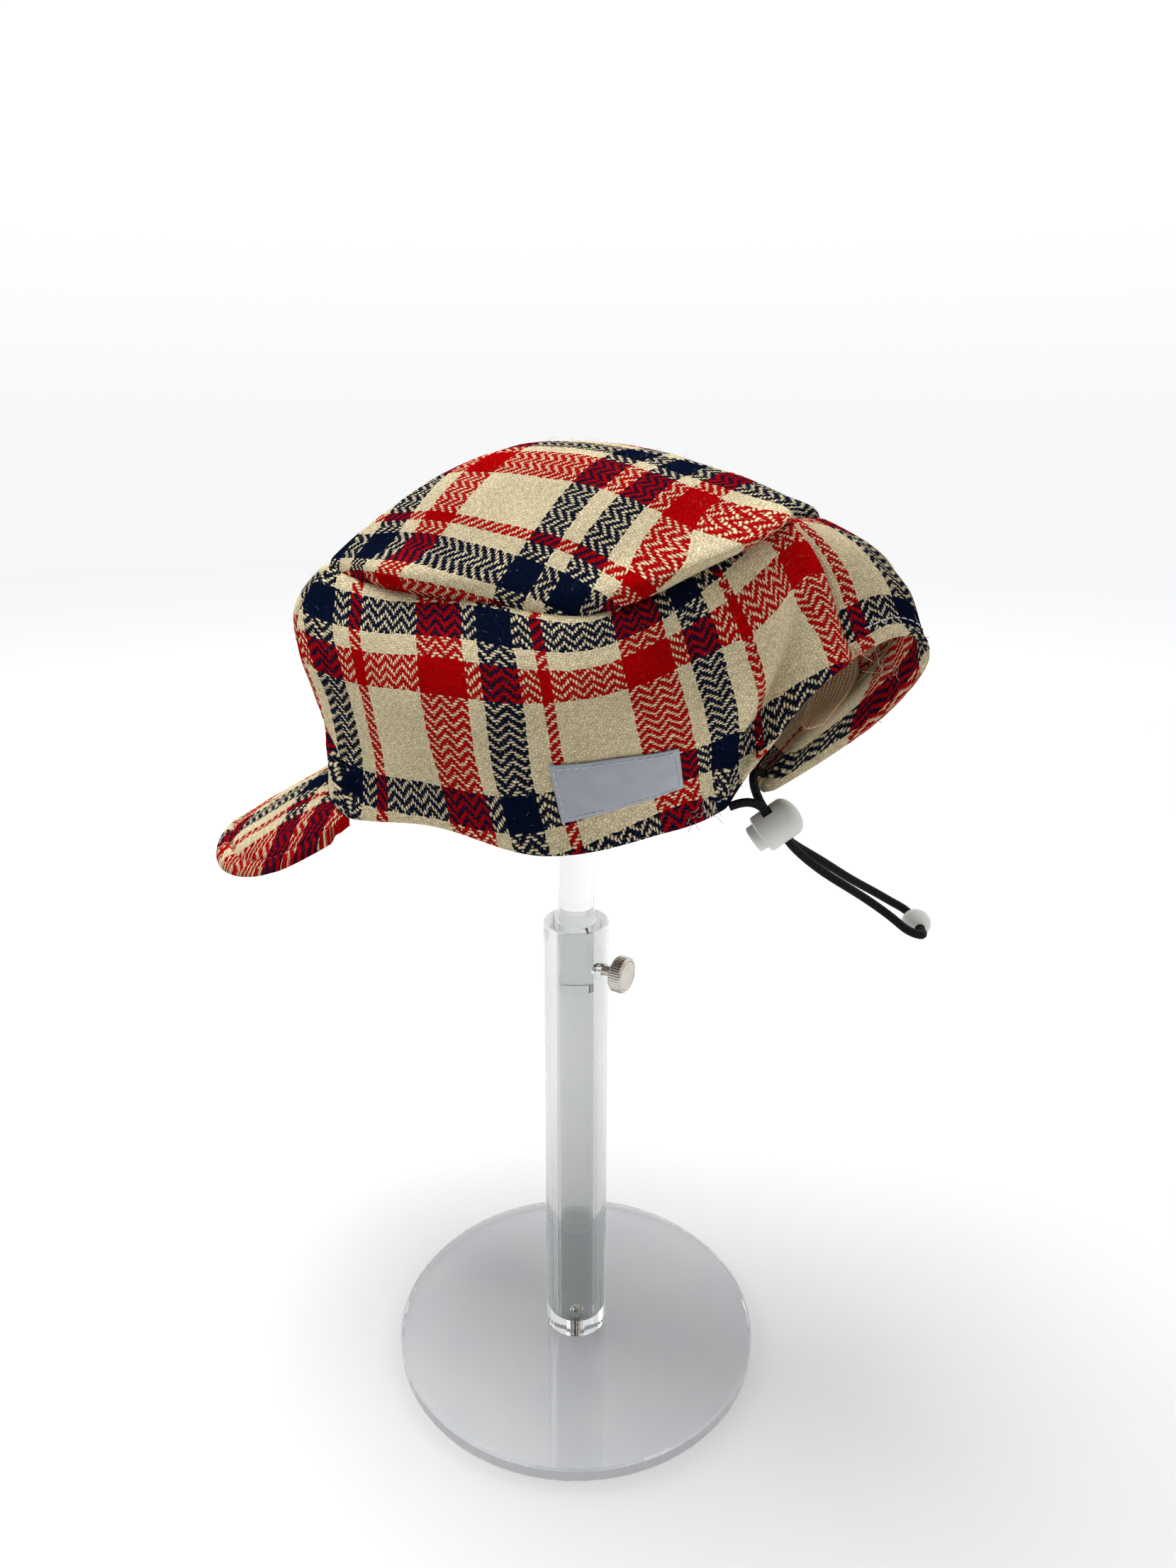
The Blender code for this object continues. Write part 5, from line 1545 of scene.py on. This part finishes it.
def sewn(name, paths, radius, finish, slot_name="wool"):
    """Threads of one thickness as one piece on the cap."""
    made = bundle(name, paths, [radius] * len(paths))
    return finished(made, finish, slot_name)


HEM_LINE_PLACES = 160


def hem_line(side, first, last, inset):
    """A line on a side panel's outer skin, set in from its hem, with outward normals."""
    skin = SKINS[side][0]
    up = running(skin)
    line, outward = [], []
    for along in np.linspace(first, last, HEM_LINE_PLACES):
        c = int(np.clip(np.searchsorted(STEPS, along), 0, len(STEPS) - 1))
        share = np.interp(inset, up[:, c], UPS)
        line.append(on_skin(skin, along, share))
        outward.append(-inward_normal(skin, *np.clip((along, share), 0.03, 0.97)))
    return line, outward


def topstitches():
    paths = []
    for side, last, seed in (("left", 0.875, 3), ("right", 0.99, 4)):
        line = hem_line(side, CINCH_ALONG - 0.03, last, HEM_STITCH_IN)
        paths += stitches(*line, 0.0030, 0.0007, 0.00022, seed)
    sewn("hem_topstitch", paths, 0.00022, THREAD)


def label_stitches():
    skin = SKINS["left"][0]
    paths = []
    wide, high = LABEL_STITCH_IN / LABEL_WIDTH, LABEL_STITCH_IN / LABEL_HEIGHT
    corners = ((wide, high), (1 - wide, high), (1 - wide, 1 - high), (wide, 1 - high), (wide, high))
    for n, (start, end) in enumerate(zip(corners, corners[1:])):
        line, outward = [], []
        for share in np.linspace(0, 1, 40):
            along, up = label_spot(*(np.array(start) * (1 - share) + np.array(end) * share))
            normal = -inward_normal(skin, along, up)
            line.append(on_skin(skin, along, up) + normal * 0.00095)
            outward.append(normal)
        paths += stitches(line, outward, 0.0017, 0.0007, 0.00016, 10 + n)
    sewn("label_stitches", paths, 0.00016, THREAD, "label")


def bill_stitches():
    upper, _, _ = bill_surfaces(columns=101, rows=84)
    line, outward = [], []
    for c in range(4, 97):
        column = upper[:, c]
        left = running(column[::-1])[::-1]
        r = int(np.argmin(abs(left - CHANNEL_IN * 1.12)))
        if r < 3:
            continue
        line.append(column[r])
        across = upper[r, c + 1] - upper[r, c - 1]
        normal = unit(np.cross(across, upper[r + 1, c] - upper[r - 1, c]))
        outward.append(normal if normal[2] > 0 else -normal)
    paths = stitches(line, outward, 0.0026, 0.0010, 0.00020, 21)
    sewn("bill_topstitch", paths, 0.00020, RED_THREAD)


STRAY_STEPS = 14


def stray_path(start, heading, length, curl, rng, sag=0.0):
    """A loose thread that wanders from its start."""
    spot, way = np.array(start, float), unit(np.array(heading, float))
    path = [spot]
    turn = rng.normal(size=3)
    for _ in range(STRAY_STEPS):
        turn = 0.75 * turn + 0.5 * rng.normal(size=3)
        way = unit(way + turn * curl + np.array([0, 0, -sag]))
        spot = spot + way * length / STRAY_STEPS
        path.append(spot)
    return path


def loose_ends():
    """Frayed yarn ends where the hem's seams start and stop, as on the worn original."""
    rng = np.random.default_rng(5)
    left, right = SKINS["left"][0], SKINS["right"][0]
    tufts = {"cream": [], "red": [], "navy": []}
    for _ in range(22):
        along = rng.uniform(0.655, 0.735)
        spot = on_skin(left, along, rng.uniform(0.0, 0.07))
        out = -inward_normal(left, along, 0.05)
        way = out * 0.9 + rng.normal(size=3) * 0.5 + np.array([0, 0, -0.5])
        long = rng.uniform(0.002, 0.006)
        tufts["cream"].append(stray_path(spot, way, long, 0.30, rng, 0.05))
    notch = hem_point("left", 1.0)
    for n in range(14):
        spot = notch + rng.normal(size=3) * 0.0012 + np.array([0, 0, 0.0010])
        way = np.array([0.35, 0.75, -0.35]) + rng.normal(size=3) * 0.5
        long = rng.uniform(0.003, 0.009)
        tufts["red" if n % 4 else "cream"].append(stray_path(spot, way, long, 0.25, rng, 0.03))
    for n in range(26):
        side = "left" if n % 2 else "right"
        along = rng.uniform(0.78, 0.99)
        spot = hem_point(side, along)
        way = rng.normal(size=3) * 0.7 + np.array([0, 0, -0.9])
        long = rng.uniform(0.001, 0.0032)
        tufts[("navy", "red", "cream")[n % 3]].append(stray_path(spot, way, long, 0.3, rng))
    for _ in range(10):
        spot = on_skin(SKINS["right"][1], rng.uniform(0.83, 0.86), rng.uniform(0.22, 0.32))
        way = inward_normal(right, 0.84, 0.25) + rng.normal(size=3) * 0.6
        long = rng.uniform(0.006, 0.014)
        tufts["cream"].append(stray_path(spot, way, long, 0.45, rng, 0.08))
    for shade, finish in (("cream", CREAM_THREAD), ("red", RED_THREAD), ("navy", NAVY_THREAD)):
        sewn("loose_ends_%s" % shade, tufts[shade], 0.00009, finish)


HAIR_COUNTS = (("cream", CREAM_THREAD, 1500), ("navy", NAVY_THREAD, 160))
HAIR_RADII = (0.00004, 0.00004, 0.00003, 0.00002)


def wool_hairs():
    """Short stray hairs standing off the cloth, which soften its outline."""
    rng = np.random.default_rng(11)
    for shade, finish, count in HAIR_COUNTS:
        paths, radii = [], []
        for _ in range(count):
            name = ("left", "right", "top", "top", "front")[rng.integers(5)]
            outer, normals = SKINS[name][0], CROWN.normals[name]
            r, c = rng.integers(2, len(outer) - 1), rng.integers(1, outer.shape[1] - 1)
            way = unit(normals[r, c] * 0.6 + rng.normal(size=3) * 0.55)
            long = rng.uniform(0.0007, 0.0018)
            bend = rng.normal(size=3) * 0.35
            spot = outer[r, c] - normals[r, c] * 0.0002
            paths.append([spot + (way + bend * t) * long * t for t in (0, 0.35, 0.7, 1.0)])
            radii.append(HAIR_RADII)
        made = bundle("wool_hairs_%s" % shade, paths, radii, 3)
        finished(made, finish, "wool")


topstitches()
label_stitches()
bill_stitches()
loose_ends()
wool_hairs()


# ---------------------------------------------------------------- cord, lock and bead
def bungee():
    route = Curve(CORD_ROUTE)
    path = [route.at(s) for s in np.linspace(0, route.knots[-1], 260)]
    made = tube("bungee_elastic", path, CORD_DIAMETER / 2, 20)
    finished(made, ELASTIC, "elastic", "bungee_cord")
    return made, path


def lock_axes():
    """Own X runs along the cord through the lock, own Z along the plunger into the barrel."""
    along = Vector((-math.sin(CORD_HEADING), math.cos(CORD_HEADING), 0))
    up = Vector((0, 0, 1))
    axis = along * math.cos(LOCK_TILT) + up * math.sin(LOCK_TILT)
    through = along * math.sin(LOCK_TILT) - up * math.cos(LOCK_TILT)
    return through, axis.cross(through), axis


def set_up(axes, centre):
    """The move that brings own X, Y and Z onto the given axes at a centre."""
    turn = Matrix([Vector(a) for a in axes]).transposed().to_4x4()
    return Matrix.Translation(centre) @ turn


def turned(name, profile, steps, axes=None, centre=(0, 0, 0)):
    """A solid of revolution; the profile is (radius, height) pairs round own Z."""
    rings = []
    for radius, height in profile:
        r = max(radius, 1e-6)
        turns = np.linspace(0, 2 * math.pi, steps, endpoint=False)
        rings.append([(r * math.cos(t), r * math.sin(t), height) for t in turns])
    made = lofted(name, rings, closed=True)
    mesh = made.data
    work = bmesh.new()
    work.from_mesh(mesh)
    bmesh.ops.remove_doubles(work, verts=work.verts, dist=2e-5)
    bmesh.ops.recalc_face_normals(work, faces=work.faces)
    if axes:
        bmesh.ops.transform(work, matrix=set_up(axes, centre), verts=work.verts)
    work.to_mesh(mesh)
    work.free()
    mesh.shade_smooth()
    mesh.set_sharp_from_angle(angle=math.radians(35))
    return made


def cut(made, size, centre, axes):
    """Cuts a box from a piece and keeps the result as its mesh."""
    bpy.ops.mesh.primitive_cube_add(size=1)
    box = bpy.context.object
    box.data.transform(set_up(axes, centre) @ Matrix.Diagonal((*size, 1)))
    boolean = made.modifiers.new("cut", "BOOLEAN")
    boolean.operation = "DIFFERENCE"
    boolean.object = box
    boolean.solver = "EXACT"
    graph = bpy.context.evaluated_depsgraph_get()
    result = bpy.data.meshes.new_from_object(made.evaluated_get(graph))
    made.modifiers.clear()
    made.data = result
    bpy.data.objects.remove(box)
    return made


PLAY = 0.0003  # room between parts that pass through each other
HALF_CORD = CORD_DIAMETER / 2 + PLAY
CORD_LANES = 2 * CORD_DIAMETER + 4 * PLAY


def rounded(radius, low, edge, step):
    """Profile of a rounded lower rim, from its side round to its flat end."""
    return [
        (radius - edge + edge * math.cos(a), low + edge - edge * math.sin(a))
        for a in np.radians(np.arange(0, 91, step))
    ]


def cord_lock():
    """The domed barrel and the button inside it, both cut through for the cord."""
    outer = BARREL_DIAMETER / 2
    low = -BARREL_LENGTH * 0.42
    dome = BARREL_LENGTH * 0.27
    shoulder = low + BARREL_LENGTH - dome
    bore = PLUNGER_DIAMETER / 2 + PLAY
    plunger_top = HALF_CORD + 0.0017
    bore_top = plunger_top + PLUNGER_TRAVEL + PLAY
    arc = [
        (outer * math.cos(a), shoulder + dome * math.sin(a))
        for a in np.radians(np.arange(90, -1, -6))
    ]
    edge = rounded(outer, low, 0.0009, 18)
    profile = [*arc, *edge, (bore, low), (bore, bore_top), (0, bore_top)]
    barrel = turned("lock_barrel", profile, 96, lock_axes(), LOCK_CENTRE)
    cut(barrel, (2 * BARREL_DIAMETER, CORD_LANES, 2 * HALF_CORD), LOCK_CENTRE, lock_axes())
    finished(barrel, PLASTIC, "lock_plastic", "cord_lock_barrel")
    radius = PLUNGER_DIAMETER / 2
    button = low - PLUNGER_TRAVEL - PLAY
    rim = rounded(radius, button, 0.0008, 15)
    profile = [(0, plunger_top), (radius, plunger_top), *rim, (0, button)]
    plunger = turned("lock_button", profile, 80, lock_axes(), LOCK_CENTRE)
    slot_low = -HALF_CORD - PLUNGER_TRAVEL
    middle = Vector(LOCK_CENTRE) + lock_axes()[2] * (HALF_CORD + slot_low) / 2
    cut(plunger, (2 * PLUNGER_DIAMETER, CORD_LANES, HALF_CORD - slot_low), middle, lock_axes())
    finished(plunger, PLASTIC, "lock_plastic", "cord_lock_plunger")
    return barrel, plunger


def bead():
    radius = BEAD_DIAMETER / 2
    start = math.acos(HALF_CORD / radius)
    profile = [(radius * math.cos(a), radius * math.sin(a)) for a in np.linspace(start, -start, 31)]
    profile.append(profile[0])
    away = Vector((math.cos(CORD_HEADING), math.sin(CORD_HEADING), 0))
    up = Vector((0, 0, 1))
    made = turned("bead_round", profile, 64, (up, away.cross(up), away), BEAD_CENTRE)
    return finished(made, PLASTIC, "lock_plastic", "cord_bead")


cord, cord_path = bungee()
barrel, plunger = cord_lock()
round_bead = bead()


# ---------------------------------------------------------------- stand
THUMB_HEIGHT = 0.1777
THUMB_HEADING = math.radians(84)
THUMB_SHANK = 0.0042
THUMB_HEAD = 0.014
THUMB_HEAD_START = 0.0177
THUMB_HEAD_END = 0.0227
THUMB_TIP = 0.0074
THUMB_RIM = 0.0006
THREAD_STEP = 0.00035
THREAD_DEPTH = 0.00022
KNURLS = 44
KNURL_DEPTH = 0.028  # share of the head's radius


def thumb_screw():
    """Own Z runs out along the screw: threaded shank, then a head with a knurled rim."""
    shank, head = THUMB_SHANK / 2, THUMB_HEAD / 2
    start, end, rim = THUMB_HEAD_START, THUMB_HEAD_END, THUMB_RIM
    places = np.arange(THUMB_TIP + 0.0004, start - 0.0005, THREAD_STEP)
    thread = [(shank - THREAD_DEPTH * (n % 2), place) for n, place in enumerate(places)]
    grip = [(head, z) for z in np.linspace(end - rim, start + rim, 4)]
    profile = [(0, end), (head * 0.78, end), (head * 0.80, end - 0.0003), (head * 0.83, end)]
    profile += [(head - rim, end), *grip, (head - rim, start), (shank, start), *thread[::-1]]
    profile += [(shank - rim, THUMB_TIP), (0, THUMB_TIP)]
    made = turned("thumb_screw_knurled", profile, KNURLS * 4)
    for vertex in made.data.vertices:
        place = vertex.co
        far = math.hypot(place.x, place.y)
        if far > head - 0.0001:
            turn = math.atan2(place.y, place.x) * KNURLS
            keep = 1 - KNURL_DEPTH * (0.5 - 0.5 * math.cos(turn))
            place.x *= keep
            place.y *= keep
    out = Vector((math.cos(THUMB_HEADING), math.sin(THUMB_HEADING), 0))
    up = Vector((0, 0, 1))
    made.data.transform(set_up((up, out.cross(up), out), (0, 0, THUMB_HEIGHT)))
    return finished(made, NICKEL, "nickel", "thumb_screw")


thumb_screw()
for node, finish in (
    ("stand_base", CLEAR_BASE),
    ("stand_column", CLEAR_COLUMN),
    ("stand_rod", CLEAR),
    ("stand_saddle", CLEAR),
    ("base_screw", NICKEL),
):
    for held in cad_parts[node].material_slots:
        held.material = finish


# ---------------------------------------------------------------- floor, lights and camera
FLOOR_RADII = (0.001, 0.15, 0.5, 1.2, 3.0)
FLOOR_LEVEL = -0.0002
FAR_GLOW = 0.14
ROOM = 1.08  # strength of the room's light
ROOM_DIM = 0.08  # the same on its dim side
LOW_ROOM = 0.875
DIM_SIDE = (0.88, 0.30, -0.10)
SOFTBOX = 10.0
FRONT_BOX = 3.6
WINDOW = 1.4
CAMERA_PLACE = (0.3499, 0.1632, 0.3765)
CAMERA_DIP = math.radians(18.05)
FOCAL_PIXELS = 1549
PHOTO_HEIGHT = 2212
CAMERA_SHIFT = 0.00755


def floor():
    turns = np.linspace(0, 2 * math.pi, 96, endpoint=False)
    rings = [
        [(radius * math.cos(t), radius * math.sin(t), FLOOR_LEVEL) for t in turns]
        for radius in FLOOR_RADII
    ]
    made = lofted("studio_floor", rings, closed=True, ends=("capped", "open"))
    pale, bench, shader = plain_material(
        "pale floor", (0.80, 0.80, 0.80), 0.7, Specular_IOR_Level=0.2
    )
    place = metres(bench)
    cloud = bench.blend(bench.noise(place, 9, 3.0), (0.78, 0.78, 0.79, 1), (0.83, 0.83, 0.825, 1))
    away = bench.add("ShaderNodeVectorMath", operation="LENGTH")
    bench.join(place, away.inputs[0])
    far = bench.ranged(away.outputs["Value"], 0.3, 1.6, 0.0, 1.0)
    bench.join(bench.blend(far, cloud, (0.97, 0.97, 0.975, 1)), shader.inputs["Base Color"])
    # the far floor glows a little, so that it is as pale as the room behind it
    bench.join(bench.blend(far, (0, 0, 0, 1), (1, 1, 1, 1)), shader.inputs["Emission Color"])
    shader.inputs["Emission Strength"].default_value = FAR_GLOW
    made.data.materials.append(pale)


def light(name, place, aim, size, power, colour=(1, 1, 1)):
    data = bpy.data.lights.new(name, "AREA")
    data.shape = "DISK"
    data.size = size
    data.energy = power
    data.color = colour
    made = bpy.data.objects.new(name, data)
    made.location = place
    made.rotation_euler = (Vector(aim) - Vector(place)).to_track_quat("-Z", "Y").to_euler()
    bpy.context.scene.collection.objects.link(made)


def studio():
    world = bpy.data.worlds.new("soft room")
    world.use_nodes = True
    bench = Bench(world.node_tree)
    back = world.node_tree.nodes["Background"]
    heading = bench.add("ShaderNodeTexCoord").outputs["Generated"]
    facing = bench.add("ShaderNodeVectorMath", operation="DOT_PRODUCT")
    bench.join(heading, facing.inputs[0])
    facing.inputs[1].default_value = DIM_SIDE
    seen = bench.add("ShaderNodeLightPath").outputs["Is Camera Ray"]
    room = bench.ranged(facing.outputs["Value"], -0.25, 0.80, ROOM, ROOM_DIM)
    room = bench.between(seen, room, ROOM)
    # a little less light low down, so that the floor's far edge melts into the room
    low = bench.ranged(bench.parts(heading)[2], 0.0, 0.28, LOW_ROOM, 1.0)
    bench.join(bench.times(room, low), back.inputs[1])
    back.inputs[0].default_value = (0.985, 0.99, 1.0, 1)
    bpy.context.scene.world = world
    light("top softbox", (0.05, -0.30, 1.30), (0, 0, 0.30), 0.8, SOFTBOX)
    light("front softbox", (-0.10, -1.15, 0.75), (0, 0, 0.30), 0.7, FRONT_BOX)
    light("warm window", (0.45, 1.15, 0.60), (0, 0.05, 0.30), 0.5, WINDOW, (1.0, 0.91, 0.80))
    bpy.context.scene.view_settings.view_transform = "Standard"


def camera():
    data = bpy.data.cameras.new("photo view")
    data.sensor_fit = "AUTO"
    data.sensor_width = 36
    data.lens = 36 * FOCAL_PIXELS / PHOTO_HEIGHT
    data.shift_x = CAMERA_SHIFT
    data.clip_start = 0.01
    made = bpy.data.objects.new("photo view", data)
    made.location = CAMERA_PLACE
    heading = math.atan2(CAMERA_PLACE[1], CAMERA_PLACE[0]) + math.pi / 2
    made.rotation_euler = (math.pi / 2 - CAMERA_DIP, 0, heading)
    bpy.context.scene.collection.objects.link(made)
    bpy.context.scene.camera = made


floor()
studio()
camera()
